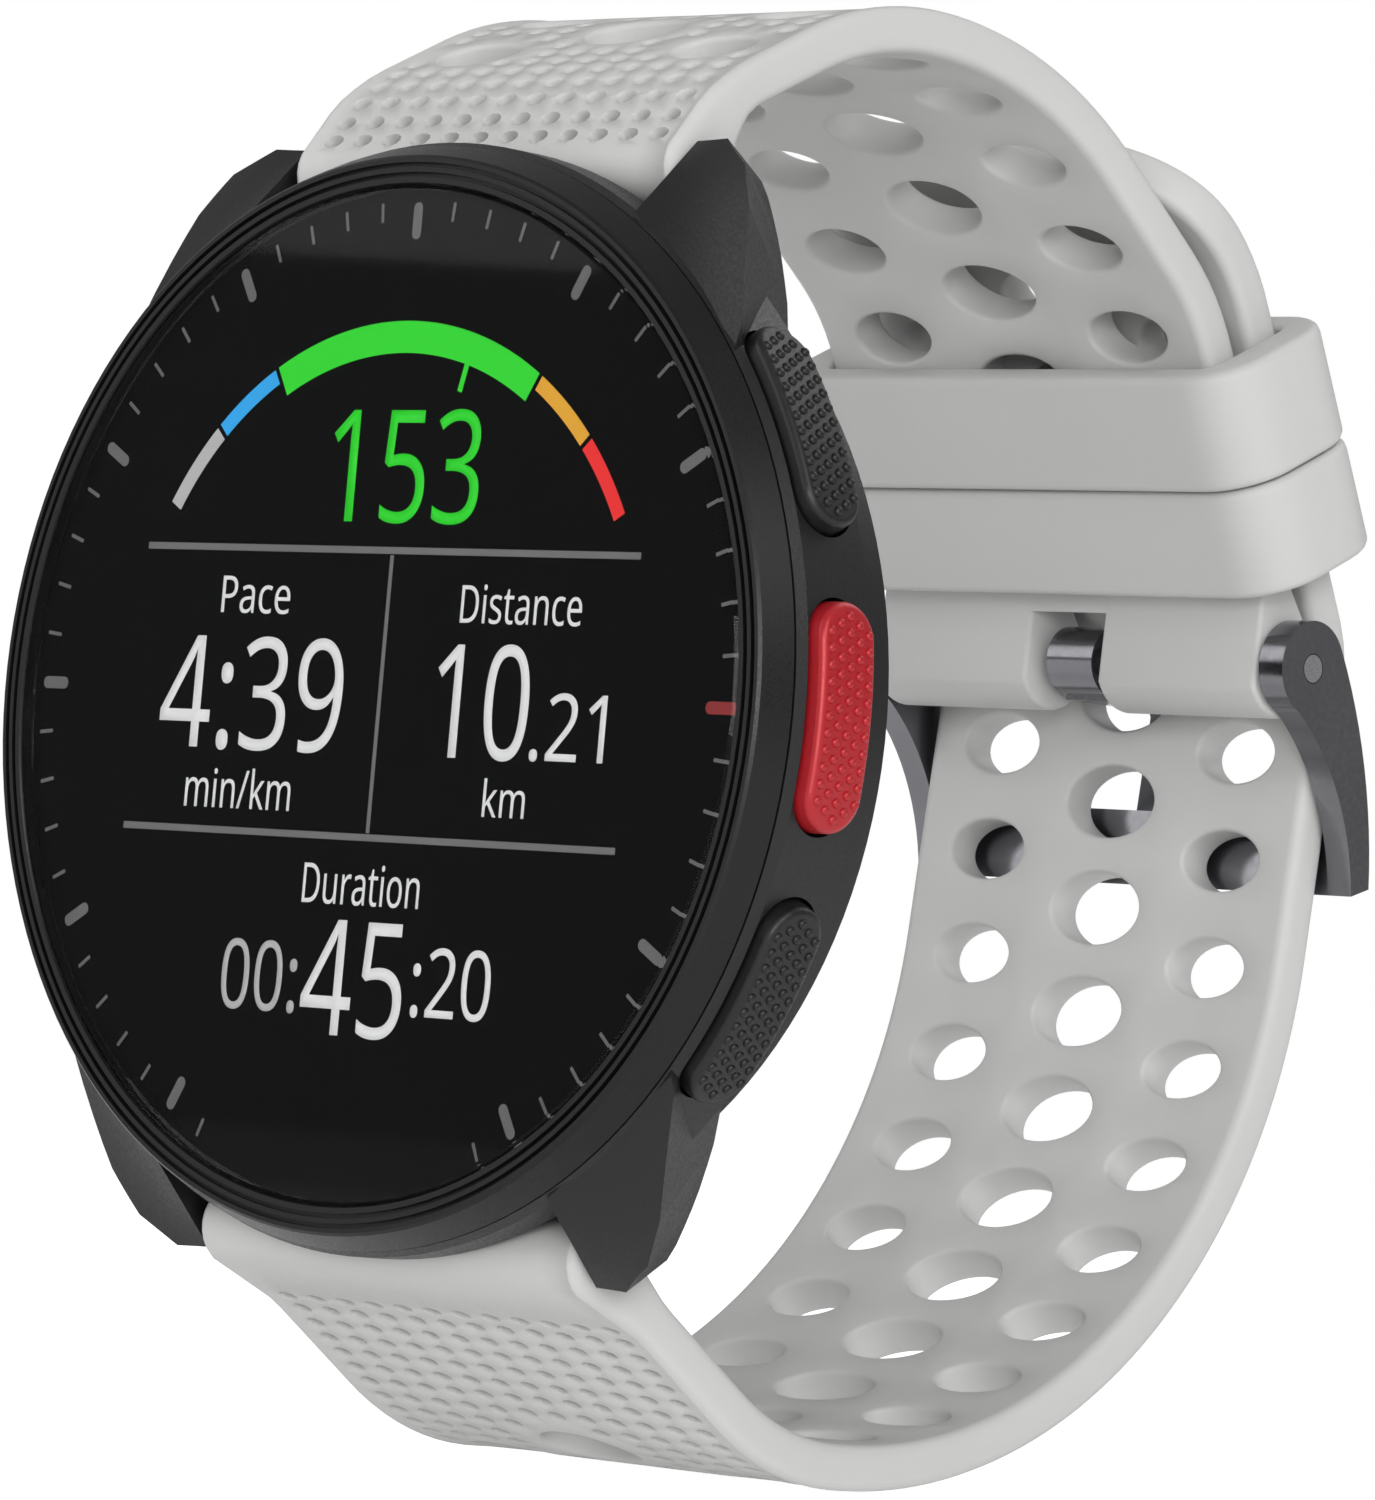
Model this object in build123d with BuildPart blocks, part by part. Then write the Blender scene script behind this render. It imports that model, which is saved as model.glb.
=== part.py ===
"""GPS running watch on a buckled silicone strap, as a bench assembly of separate pieces.

Frame: the origin is the middle of the loop that goes round the wrist. -Y is out of the glass,
+Z is the 12 o'clock direction and +X is the 3 o'clock direction. All sizes are in millimetres,
and a depth is measured from the glass's front face towards the wrist.
"""

import os
from math import cos, hypot, radians, sin, sqrt

from build123d import *

os.makedirs("parts", exist_ok=True)

# ---------------------------------------------------------------- driving dimensions
# The loop's middle lies this far behind the glass's front face
wrist_depth = 28.0

# Case
case_radius = 22.5
case_depth = 11.5
bezel_step = 0.2
bezel_slope = 0.55
bezel_width = 1.25
bezel_depth = 1.45
seam_chamfer = 0.45
bezel_groove_width = 0.2
bezel_groove_depth = 0.3
bezel_groove_inset = 0.45
bezel_groove_pitch = 0.4
glass_thickness = 0.9
glass_fit = 0.05
case_wall = 4.5
side_straight_end = 5.4
side_taper_end = 7.5
back_taper = 2.1
back_plane = 8.8
cover_inset = 0.7
cover_thickness = 1.3

# Strap and the lugs that hold it
strap_width = 22.0
strap_thickness = 1.9
strap_bevel = 0.45
lug_gap = 0.25
lug_width = 6.15
lug_overhang = 1.15
lug_side_taper = 29.0
lug_root_depth = 8.0
lug_tip_inner = 0.5
lug_tip_outer = 1.2
# the lug's outline at its front: across from its inner face, and past the bar
lug_outline = [(8.0, -17.8), (5.45, -0.8), (4.35, 1.9), (2.15, 2.8)]
bar_depth = 5.4
bar_inset = 0.7
strap_end_radius = 1.7
strap_end_length = 4.0
pocket_gap = 0.35

# Holes through the strap
centre_hole_size = (4.5, 3.1)
side_hole_size = (3.9, 2.6)
side_hole_offset = 6.8
first_upper_hole = 9.0
first_lower_hole = 11.5
last_hole = 7.6
lower_hole_pitch = 4.75
tongue_hole_height = 4.4
upper_hole_pitch = 5.1

# Spring bars
bar_tube_radius = 0.75
bar_bore_radius = 0.45
bar_pin_radius = 0.4
bar_fit = 0.03
bar_pin_reach = 1.2
release_travel = 1.3
release_rod_length = 8.0
knob_offset = 6.6
knob_radius = 0.45
knob_height = 0.6
release_slot_fit = 0.08
release_slot_end = 0.1

# Buckle: its pin's place, and the strap run that leans past it
pin_depth = 43.6
pin_height = 5.7
run_lean = 27.0
buckle_end_radius = 2.2
upper_run_offset = 0.65
tail_run_offset = 3.5
tail_free_length = 7.6
tip_round = 6.0
wall_lean = 5.0
wall_gap = 0.25
pin_radius = 0.6
pin_fit = 0.04
arm_thickness = 1.3
arm_gap = 0.3
arm_disc_radius = 2.05
bar_plate_thickness = 1.1
bar_plate_height = 2.8
plate_gap = 0.25
plate_drop = 8.6
tongue_width = 2.6
tongue_thickness = 0.8
tongue_ring_radius = 1.5
tongue_gap = 0.1
notch_gap = 0.8
notch_depth = 2.6
wedge_gap = 0.3
tongue_bend = 0.7

# The two halves' centrelines: how far each rises past its spring bar, and their bends
rise_height = 3.2
rise_depth = 7.0
rise_radius = 5.0
crown_rise = 7.45
crown_start = 15.0
crown_end = 25.5
crown_front_radius = 15.0
crown_back_radius = 19.5
run_length = 16.3
run_bend_radius = 10.0
sole_drop = 7.6
sole_start = 16.7
sole_front_radius = 12.0
sole_back_radius = 25.0
wall_bend_radius = 5.0
tail_bend_radius = 9.0

# Keepers
keeper_wall = 1.45
keeper_side_wall = 2.0
keeper_fit = 0.3
keeper_corner = 2.6
keeper_bore_corner = 0.9
keeper_fillet = 0.35
fixed_keeper_start = 3.7
fixed_keeper_length = 4.85
free_keeper_length = 5.2
keeper_joint_gap = 0.1

# Push buttons
button_length = 9.0
button_width = 3.0
button_gap = 0.15
button_proud = 0.7
button_thickness = 1.6
button_travel = 0.5
button_depth = 3.55
button_fillet = 0.3
stem_radius = 0.6
stem_inset = 0.7
seal_bore_radius = 0.85
stem_hole_radius = 0.65
clip_radius = 1.0
clip_thickness = 0.3
clip_fit = 0.02
clip_opening = 0.8
clip_inset = 0.15
groove_radius = 0.45
groove_fit = 0.01
seal_thickness = 0.66
seal_fit = 0.02
seal_seat = 2.1
seal_bore_start = 0.9
pocket_clearance = 0.1

# Inside the case
display_margin = 1.8
board_margin = 1.4
board_depth = 4.6
board_thickness = 0.7
battery_size = (19.0, 2.9, 22.5)
battery_centre = (-3.4, 7.0, 0.0)
motor_radius = 4.0
motor_thickness = 2.6
motor_centre = (11.6, 6.9, 0.0)
motor_wall = 0.3
sensor_radius = 7.2
boss_inset = 1.1
boss_angle = 60.0
boss_radius = 1.5
boss_height = 2.2
screw_radius = 0.6
screw_length = 2.5
screw_head_radius = 1.15
screw_head_height = 0.55
screw_socket_radius = 0.55
screw_socket_depth = 0.32
screw_fit = 0.05
screw_head_gap = 0.1
screw_seat = 0.6
contact_height = -13.4
contact_pitch = 2.5
contact_count = 4
contact_radius = 0.8
contact_fit = 0.03
contact_recess = 0.15
sensor_fit = 0.03
sensor_window_depth = 1.2
sensor_window_fillet = 0.5
sensor_rim_inset = 0.25
sensor_ramp_width = 2.3
sensor_ramp_start = 1.1
sensor_board_inset = 0.8
sensor_board_thickness = 0.5
led_size = 1.4
led_circle = 4.2
diode_size = 2.0
diode_circle = 3.6
optics_height = 0.6
gasket_groove_inner = 0.5
gasket_groove_width = 0.6
gasket_groove_depth = 0.5
gasket_fit = 0.05
gasket_squeeze = 0.02
glass_chamfer = 0.12
bezel_edge_chamfer = 0.12
stack_gap = 0.1
display_thickness = 1.0
carrier_thickness = 0.5
carrier_window = (14.0, 9.0)
antenna_thickness = 0.9
antenna_width = 0.6
antenna_gap = 0.1
board_notch = (9.0, 4.0)
shield_size = (9.0, 6.0, 1.1)
shield_centre = (4.0, -8.0)
shield_corner = 0.6
shield_wall = 0.2
switch_size = (3.4, 1.4, 1.6)
battery_corner = 1.2
battery_fillet = 0.5
motor_shaft_radius = 0.4
motor_hub_radius = 1.0
motor_gap = 0.3
motor_shaft_fit = 0.04

# ---------------------------------------------------------------- sizes that follow
bezel_seam_radius = case_radius - bezel_step
bezel_front_radius = bezel_seam_radius - bezel_slope
glass_radius = bezel_front_radius - bezel_width
cavity_radius = case_radius - case_wall
back_edge_radius = case_radius - back_taper
cover_radius = back_edge_radius - cover_inset
bar_height = case_radius - bar_inset
lug_reach = bar_height + lug_overhang
pocket_floor = bar_height - strap_end_radius - pocket_gap
pocket_front = bar_depth - strap_end_radius - pocket_gap
button_seat_radius = case_radius + button_proud - button_thickness
stem_end = cavity_radius - stem_inset
display_radius = cavity_radius - display_margin
board_radius = cavity_radius - board_margin
boss_circle = cavity_radius - boss_inset
boss_angles = (boss_angle, 180 - boss_angle, 180 + boss_angle, -boss_angle)
boss_places = [(boss_circle * cos(radians(a)), boss_circle * sin(radians(a))) for a in boss_angles]
half_width = strap_width / 2
half_thickness = strap_thickness / 2
lug_inner = half_width + lug_gap
lug_outer = lug_inner + lug_width
lug_front = bezel_depth + 0.1
lug_back = back_plane - 0.4
strap_bore_radius = bar_tube_radius + bar_fit

# ---------------------------------------------------------------- helpers
buttons = {
    "ok": 0.0,
    "up": 30.0,
    "down": -30.0,
    "light": 150.0,
    "back": -150.0,
}


def finish(builder, name):
    """Labels a finished piece and writes it as one STEP file."""
    builder.part.label = name
    export_step(builder.part, f"parts/{name}.step")


def place(x, depth, z):
    """The point at that x, depth behind the glass's front face and height."""
    return Vector(x, depth - wrist_depth, z)


def radial_plane(angle, radius):
    """A plane that faces out from the case's side, square to the radius at that clock angle."""
    out = Vector(cos(radians(angle)), 0, sin(radians(angle)))
    along = Vector(-sin(radians(angle)), 0, cos(radians(angle)))
    return Plane(origin=place(0, button_depth, 0) + out * radius, x_dir=along, z_dir=out)


def depth_plane(depth, x=0.0, z=0.0):
    """A plane square to the watch's axis at a depth, whose extrusions run towards the wrist."""
    return Plane(origin=place(x, depth, z), x_dir=(1, 0, 0), z_dir=(0, 1, 0))


def side_plane(x):
    """A plane square to x, where a sketch's first coordinate is depth and its second is height."""
    return Plane(origin=place(x, 0, 0), x_dir=(0, 1, 0), z_dir=(1, 0, 0))


def turning_plane():
    """The plane for turned profiles: the first coordinate is radius and the second is depth."""
    return Plane(origin=place(0, 0, 0), x_dir=(1, 0, 0), z_dir=(0, 0, 1))


# The strap's straight run past the buckle: `up` climbs towards the tail's tip, `out` leaves the wrist
run_up = Vector(0, -sin(radians(run_lean)), cos(radians(run_lean)))
run_out = Vector(0, cos(radians(run_lean)), sin(radians(run_lean)))
wall_up = Vector(0, sin(radians(wall_lean)), cos(radians(wall_lean)))
wall_out = Vector(0, cos(radians(wall_lean)), -sin(radians(wall_lean)))
wall_offset = buckle_end_radius + half_thickness + wall_gap


def on_line(start, along, across, u, n):
    """Depth and height of the point u along a line from start and n to its outer side."""
    return (start[0] + along.Y * u + across.Y * n, start[1] + along.Z * u + across.Z * n)


def on_run(u, n):
    """Depth and height of the point u up the run from the pin and n outwards of it."""
    return on_line((pin_depth, pin_height), run_up, run_out, u, n)


def on_wall(v, n=0.0):
    """Depth and height of the point v up the strap's far wall from beside the pin and n outwards."""
    return on_line((pin_depth, pin_height), wall_up, wall_out, v, wall_offset + n)


def meeting(start, along, other_start, other_along):
    """How far along the first line it meets the second."""
    gap = Vector(0, other_start[0] - start[0], other_start[1] - start[1])
    return gap.cross(other_along).X / along.cross(other_along).X


def run_plane(u, n=0.0, x=0.0):
    """A plane square to the run: local x is the watch's x and local y points out of the wrist."""
    y, z = on_run(u, n)
    return Plane(origin=place(x, y, z), x_dir=(1, 0, 0), z_dir=run_up)


# ---------------------------------------------------------------- strap centrelines
upper_start = (bar_depth, bar_height)
lower_start = (bar_depth, -bar_height)
upper_crown = bar_height + crown_rise
lower_sole = -bar_height - sole_drop
crown_corner = (crown_end, upper_crown)
run_top = on_run(run_length, upper_run_offset)
upper_points = [
    upper_start,
    (rise_depth, bar_height + rise_height),
    (crown_start, upper_crown),
    crown_corner,
    run_top,
    on_run(0, upper_run_offset),
]
upper_radii = [rise_radius, crown_front_radius, crown_back_radius, run_bend_radius]

# the tail keeps its distance outside the upper half, round the upper half's last bend
bend_back = Vector(0, crown_corner[0] - run_top[0], crown_corner[1] - run_top[1]).normalized()
tail_bend = run_length + (tail_run_offset - upper_run_offset) * (
    (1 - run_up.dot(bend_back)) / run_up.cross(bend_back).length
)
tail_corner = meeting(on_run(0, tail_run_offset), run_up, on_wall(0), wall_up)
tail_bend_point = on_run(tail_bend, tail_run_offset)
tail_tip = on_line(tail_bend_point, bend_back, bend_back, tail_free_length, 0)
wall_foot = meeting(on_wall(0), wall_up, (0, lower_sole), Vector(0, 1, 0))
lower_points = [
    lower_start,
    (sole_start, lower_sole),
    on_wall(wall_foot),
    on_run(tail_corner, tail_run_offset),
    tail_bend_point,
    tail_tip,
]
lower_radii = [sole_front_radius, sole_back_radius, wall_bend_radius, tail_bend_radius]


def strap_line(points, radii):
    """The strap's centreline in the YZ plane: straight runs joined by tangent arcs."""
    with BuildLine(side_plane(0)) as line:
        FilletPolyline(*points, radius=radii)
    return line.wires()[0]


def strap_band(line, outward):
    """The strap's body: its bevelled section carried along the centreline. outward is +1 where the
    outer face lies to the left of the line's direction and -1 where it lies to the right."""
    start = line.position_at(0)
    ahead = line.tangent_at(0)
    section = Plane(origin=start, x_dir=(1, 0, 0), z_dir=ahead)
    side = outward * (1 if section.y_dir.dot(Vector(0, -ahead.Z, ahead.Y)) > 0 else -1)
    with BuildPart() as band:
        with BuildSketch(section):
            with BuildLine():
                Polyline(
                    (-half_width, -side * half_thickness),
                    (half_width, -side * half_thickness),
                    (half_width, side * (half_thickness - strap_bevel)),
                    (half_width - strap_bevel, side * half_thickness),
                    (-half_width + strap_bevel, side * half_thickness),
                    (-half_width, side * (half_thickness - strap_bevel)),
                    close=True,
                )
            make_face()
        sweep(path=line)
    return band.part


def hole_planes(line, lengths, across):
    """Planes whose z axes pass through the strap at those lengths along it and places across it."""
    planes = []
    for length in lengths:
        share = length / line.length
        ahead = line.tangent_at(share)
        through = Vector(0, -ahead.Z, ahead.Y)
        for x in across:
            origin = line.position_at(share) + Vector(x, 0, 0)
            planes.append(Plane(origin=origin, x_dir=(1, 0, 0), z_dir=through))
    return planes


def length_at_height(line, height):
    """How far along the lower half its climb from the sole to the tail's tip passes that height."""
    low, high = 0.35, 1.0
    while high - low > 1e-7:
        middle = (low + high) / 2
        if line.position_at(middle).Z < height:
            low = middle
        else:
            high = middle
    return line.length * low


def end_wedge(line, radius):
    """Outline that thickens the strap from its full section to the round of that radius at its start."""
    start = line.position_at(0)
    ahead = line.tangent_at(0)
    side = Vector(0, -ahead.Z, ahead.Y)
    far = start + ahead * strap_end_length
    corners = [
        start + side * radius,
        far + side * half_thickness,
        far - side * half_thickness,
        start - side * radius,
    ]
    return [(corner.Y + wrist_depth, corner.Z) for corner in corners]


def release_slot(centre):
    """The slot that the release knob slides in, from the bar's middle out to the wrist side."""
    with BuildPart() as slot:
        with BuildSketch(depth_plane(centre[0], knob_offset - release_travel / 2, centre[1])):
            SlotCenterToCenter(
                release_travel + 2 * release_slot_end, 2 * (knob_radius + release_slot_fit)
            )
        extrude(amount=2 * strap_end_radius)
    return slot.part


# ---------------------------------------------------------------- mid case with its lugs
def lug_section(x, tip_front):
    """The lug's outline at that x, seen from the side: up from the case's own edge to its tip."""
    foot = sqrt(case_radius**2 - x**2)
    with BuildSketch(side_plane(x)) as section:
        with BuildLine():
            Polyline(
                (lug_front, foot - lug_root_depth),
                (lug_front, foot),
                (tip_front, lug_reach),
                (bar_depth + 0.6, lug_reach),
                (bar_depth + 1.6, bar_height),
                (lug_back, pocket_floor - 3.0),
                (lug_back, foot - lug_root_depth),
                close=True,
            )
        make_face()
    return section.sketch


def lug_blank():
    """One lug: its front face twists between two side outlines, and its outer side tapers back."""
    outline = [(lug_inner + across, -(bar_height + past)) for across, past in lug_outline]
    inside = lug_inner - lug_width
    with BuildPart() as blank:
        with BuildSketch(depth_plane(bezel_depth)):
            with BuildLine():
                Polyline((inside, outline[0][1]), *outline, (inside, outline[-1][1]), close=True)
            make_face()
        extrude(amount=back_plane - bezel_depth, taper=lug_side_taper)
        with BuildPart(mode=Mode.INTERSECT):
            loft(
                sections=[
                    lug_section(lug_inner, bar_depth - lug_tip_inner),
                    lug_section(lug_outer, bar_depth - lug_tip_outer),
                ],
                ruled=True,
            )
    return blank.part


lug = lug_blank()
with BuildPart() as case_shell:
    with BuildSketch(turning_plane()):
        with BuildLine():
            Polyline(
                (0, bezel_depth),
                (bezel_seam_radius, bezel_depth),
                (case_radius, bezel_depth + seam_chamfer),
                (case_radius, side_straight_end),
                (back_edge_radius, side_taper_end),
                (back_edge_radius, back_plane),
                (0, back_plane),
                close=True,
            )
        make_face()
    revolve(axis=Axis.Y)
    # four lugs
    for flip in (None, Plane.YZ):
        side_lug = lug.mirror(flip) if flip else lug
        add(side_lug)
        add(side_lug.mirror(Plane.XY))
    # the cavity, open towards the back cover, and the ledge that carries the glass
    with BuildSketch(depth_plane(0)):
        Circle(cavity_radius)
    extrude(amount=case_depth, mode=Mode.SUBTRACT)
    # pockets that take the strap's ends between the lugs
    for up in (1, -1):
        with BuildSketch(depth_plane(pocket_front)):
            with Locations((0, -up * (pocket_floor + 5))):
                Rectangle(2 * lug_inner, 10)
        extrude(amount=case_depth, mode=Mode.SUBTRACT)
        with BuildSketch(side_plane(-lug_inner - bar_pin_reach - 0.2)):
            with Locations((bar_depth, up * bar_height)):
                Circle(bar_pin_radius + bar_fit)
        extrude(amount=2 * (lug_inner + bar_pin_reach + 0.2), mode=Mode.SUBTRACT)
    # screw bosses for the back cover
    for x, z in boss_places:
        with BuildSketch(depth_plane(back_plane - boss_height, x, z)):
            Circle(boss_radius)
        extrude(amount=boss_height)
        with BuildSketch(depth_plane(back_plane - screw_length + screw_seat, x, z)):
            Circle(screw_radius + screw_fit)
        extrude(amount=boss_height, mode=Mode.SUBTRACT)
    # groove for the back gasket
    with BuildSketch(depth_plane(back_plane - gasket_groove_depth)):
        Circle(cavity_radius + gasket_groove_inner + gasket_groove_width)
        Circle(cavity_radius + gasket_groove_inner, mode=Mode.SUBTRACT)
    extrude(amount=2 * gasket_groove_depth, mode=Mode.SUBTRACT)
    # button pockets, seal bores and stem holes
    for angle in buttons.values():
        pocket = radial_plane(angle, button_seat_radius - button_travel - pocket_clearance)
        with BuildSketch(pocket):
            SlotOverall(button_length + 2 * button_gap, button_width + 2 * button_gap)
        extrude(amount=case_wall, mode=Mode.SUBTRACT)
        with BuildSketch(radial_plane(angle, cavity_radius + seal_bore_start)):
            Circle(seal_bore_radius)
        extrude(amount=case_wall, mode=Mode.SUBTRACT)
        with BuildSketch(radial_plane(angle, cavity_radius - boss_radius)):
            Circle(stem_hole_radius)
        extrude(amount=case_wall, mode=Mode.SUBTRACT)
finish(case_shell, "case_shell")

# ---------------------------------------------------------------- bezel, glass and gasket
bezel_first_groove = glass_radius + bezel_groove_inset
with BuildPart() as bezel_ring:
    with BuildSketch(turning_plane()):
        with BuildLine():
            Polyline(
                (glass_radius + glass_fit, bezel_depth),
                (glass_radius + glass_fit, bezel_edge_chamfer),
                (glass_radius + bezel_edge_chamfer, 0),
                (bezel_front_radius - bezel_edge_chamfer, 0),
                (bezel_front_radius, bezel_edge_chamfer),
                (bezel_seam_radius, bezel_depth - bezel_edge_chamfer),
                (bezel_seam_radius - bezel_edge_chamfer, bezel_depth),
                close=True,
            )
        make_face()
        for radius in (bezel_first_groove, bezel_first_groove + bezel_groove_pitch):
            with Locations((radius, 0)):
                Rectangle(bezel_groove_width, 2 * bezel_groove_depth, mode=Mode.SUBTRACT)
    revolve(axis=Axis.Y)
finish(bezel_ring, "bezel_ring")

with BuildPart() as glass:
    with BuildSketch(depth_plane(0)):
        Circle(glass_radius)
    extrude(amount=glass_thickness)
    chamfer(glass.edges().group_by(Axis.Y)[0], glass_chamfer)
finish(glass, "glass")

with BuildPart() as glass_gasket:
    with BuildSketch(depth_plane(glass_thickness)):
        Circle(glass_radius - 0.1)
        Circle(cavity_radius + 0.1, mode=Mode.SUBTRACT)
    extrude(amount=bezel_depth - glass_thickness)
finish(glass_gasket, "glass_gasket")

# ---------------------------------------------------------------- display, antenna and boards
display_front = glass_thickness + stack_gap
with BuildPart() as display_panel:
    with BuildSketch(depth_plane(display_front)):
        Circle(display_radius)
    extrude(amount=display_thickness)
finish(display_panel, "display_panel")

with BuildPart() as display_carrier:
    with BuildSketch(depth_plane(display_front + display_thickness)):
        Circle(display_radius)
        Rectangle(*carrier_window, mode=Mode.SUBTRACT)
    extrude(amount=carrier_thickness)
finish(display_carrier, "display_carrier")

with BuildPart() as gps_antenna:
    with BuildSketch(depth_plane(bezel_depth + antenna_gap)):
        Circle(cavity_radius - antenna_gap)
        Circle(cavity_radius - antenna_gap - antenna_width, mode=Mode.SUBTRACT)
        with Locations((0, cavity_radius)):
            Rectangle(2 * cavity_radius, 1.3 * cavity_radius, mode=Mode.SUBTRACT)
    extrude(amount=antenna_thickness)
finish(gps_antenna, "gps_antenna")

with BuildPart() as main_board:
    with BuildSketch(depth_plane(board_depth)):
        Circle(board_radius)
        with Locations((0, board_radius + 1), (0, -board_radius - 1)):
            Rectangle(*board_notch, mode=Mode.SUBTRACT)
    extrude(amount=board_thickness)
finish(main_board, "main_board")

chips = {
    "processor": (-4.5, 4.0, 7.0, 7.0, 0.9),
    "memory": (5.5, 6.5, 5.0, 4.0, 0.8),
    "radio": (5.8, -0.5, 4.2, 4.2, 0.8),
    "motion_sensor": (-7.5, -4.0, 2.5, 3.0, 0.8),
    "pressure_sensor": (-2.5, -5.0, 2.0, 2.0, 0.8),
}
with BuildPart() as board_chips:
    for x, z, width, height, tall in chips.values():
        with BuildSketch(depth_plane(board_depth - tall, x, z)):
            Rectangle(width, height)
        extrude(amount=tall)
finish(board_chips, "board_chips")

with BuildPart() as shield_can:
    with BuildSketch(depth_plane(board_depth - shield_size[2], *shield_centre)):
        RectangleRounded(shield_size[0], shield_size[1], shield_corner)
    extrude(amount=shield_size[2])
    offset(amount=-shield_wall, openings=shield_can.faces().sort_by(Axis.Y)[-1])
finish(shield_can, "shield_can")

with BuildPart() as side_switches:
    for angle in buttons.values():
        with BuildSketch(radial_plane(angle, stem_end - button_travel - 0.1)):
            Rectangle(switch_size[0], switch_size[1])
        extrude(amount=-switch_size[2])
finish(side_switches, "side_switches")

with BuildPart() as battery:
    with BuildSketch(depth_plane(battery_centre[1] - battery_size[1] / 2, battery_centre[0])):
        RectangleRounded(battery_size[0], battery_size[2], battery_corner)
    extrude(amount=battery_size[1])
    fillet(battery.edges().group_by(Axis.Y)[0] + battery.edges().group_by(Axis.Y)[-1], battery_fillet)
finish(battery, "battery")

# ---------------------------------------------------------------- vibration motor
motor_x, motor_y, motor_z = motor_centre
motor_front = motor_y - motor_thickness / 2
with BuildPart() as motor_can:
    with BuildSketch(depth_plane(motor_front, motor_x, motor_z)):
        Circle(motor_radius)
    extrude(amount=motor_thickness)
    with BuildSketch(depth_plane(motor_front + motor_wall, motor_x, motor_z)):
        Circle(motor_radius - motor_wall)
    extrude(amount=motor_thickness - 2 * motor_wall, mode=Mode.SUBTRACT)
finish(motor_can, "motor_can")

with BuildPart() as motor_shaft:
    with BuildSketch(depth_plane(motor_front + motor_wall, motor_x, motor_z)):
        Circle(motor_shaft_radius)
    extrude(amount=motor_thickness - 2 * motor_wall)
finish(motor_shaft, "motor_shaft")

with BuildPart() as motor_rotor:
    with BuildSketch(depth_plane(motor_front + motor_wall + motor_gap, motor_x, motor_z)):
        Circle(motor_radius - motor_wall - motor_gap)
        with Locations((0, -motor_radius / 2 - 0.7 * motor_hub_radius)):
            Rectangle(3 * motor_radius, motor_radius, mode=Mode.SUBTRACT)
        Circle(motor_hub_radius)
        Circle(motor_shaft_radius + motor_shaft_fit, mode=Mode.SUBTRACT)
    extrude(amount=motor_thickness - 2 * motor_wall - 2 * motor_gap)
finish(motor_rotor, "motor_rotor")

# ---------------------------------------------------------------- back cover and sensor
cover_back = back_plane + cover_thickness
sensor_rim = case_depth - sensor_rim_inset
with BuildPart() as back_cover:
    with BuildSketch(turning_plane()):
        with BuildLine():
            Polyline(
                (0, back_plane),
                (cover_radius, back_plane),
                (cover_radius, back_plane + 0.35),
                (cover_radius - 1.6, cover_back),
                (sensor_radius + sensor_ramp_start + sensor_ramp_width, cover_back),
                (sensor_radius + sensor_ramp_start, sensor_rim),
                (0, sensor_rim),
                close=True,
            )
        make_face()
    revolve(axis=Axis.Y)
    with BuildSketch(depth_plane(back_plane)):
        Circle(sensor_radius - 0.6)
    extrude(amount=4, mode=Mode.SUBTRACT)
    with BuildSketch(depth_plane(case_depth - sensor_window_depth)):
        Circle(sensor_radius + sensor_fit)
    extrude(amount=4, mode=Mode.SUBTRACT)
    for x, z in boss_places:
        with BuildSketch(depth_plane(back_plane, x, z)):
            Circle(screw_radius + 2 * screw_fit)
        extrude(amount=case_depth, mode=Mode.SUBTRACT)
        with BuildSketch(depth_plane(back_plane + screw_seat, x, z)):
            Circle(screw_head_radius + screw_head_gap)
        extrude(amount=case_depth, mode=Mode.SUBTRACT)
    with BuildSketch(depth_plane(back_plane, 0, contact_height)):
        with GridLocations(contact_pitch, 1, contact_count, 1):
            Circle(contact_radius + contact_fit)
    extrude(amount=case_depth, mode=Mode.SUBTRACT)
finish(back_cover, "back_cover")

with BuildPart() as back_gasket:
    with BuildSketch(depth_plane(back_plane - gasket_groove_depth + gasket_squeeze)):
        Circle(cavity_radius + gasket_groove_inner + gasket_groove_width - gasket_fit)
        Circle(cavity_radius + gasket_groove_inner + gasket_fit, mode=Mode.SUBTRACT)
    extrude(amount=gasket_groove_depth - gasket_squeeze)
finish(back_gasket, "back_gasket")

with BuildPart() as back_screws:
    for x, z in boss_places:
        head_front = back_plane + screw_seat + gasket_squeeze
        with BuildSketch(depth_plane(head_front + gasket_squeeze - screw_length, x, z)):
            Circle(screw_radius)
        extrude(amount=screw_length)
        with BuildSketch(depth_plane(head_front, x, z)):
            Circle(screw_head_radius)
        extrude(amount=screw_head_height)
        with BuildSketch(depth_plane(head_front + screw_head_height - screw_socket_depth, x, z)):
            RegularPolygon(screw_socket_radius, 6)
        extrude(amount=screw_head_height, mode=Mode.SUBTRACT)
finish(back_screws, "back_screws")

with BuildPart() as sensor_window:
    with BuildSketch(depth_plane(case_depth - sensor_window_depth + sensor_fit)):
        Circle(sensor_radius)
    extrude(amount=sensor_window_depth - sensor_fit)
    fillet(sensor_window.edges().group_by(Axis.Y)[-1], sensor_window_fillet)
finish(sensor_window, "sensor_window")

with BuildPart() as sensor_board:
    with BuildSketch(depth_plane(back_plane + stack_gap)):
        Circle(sensor_radius - sensor_board_inset)
    extrude(amount=sensor_board_thickness)
finish(sensor_board, "sensor_board")

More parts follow.
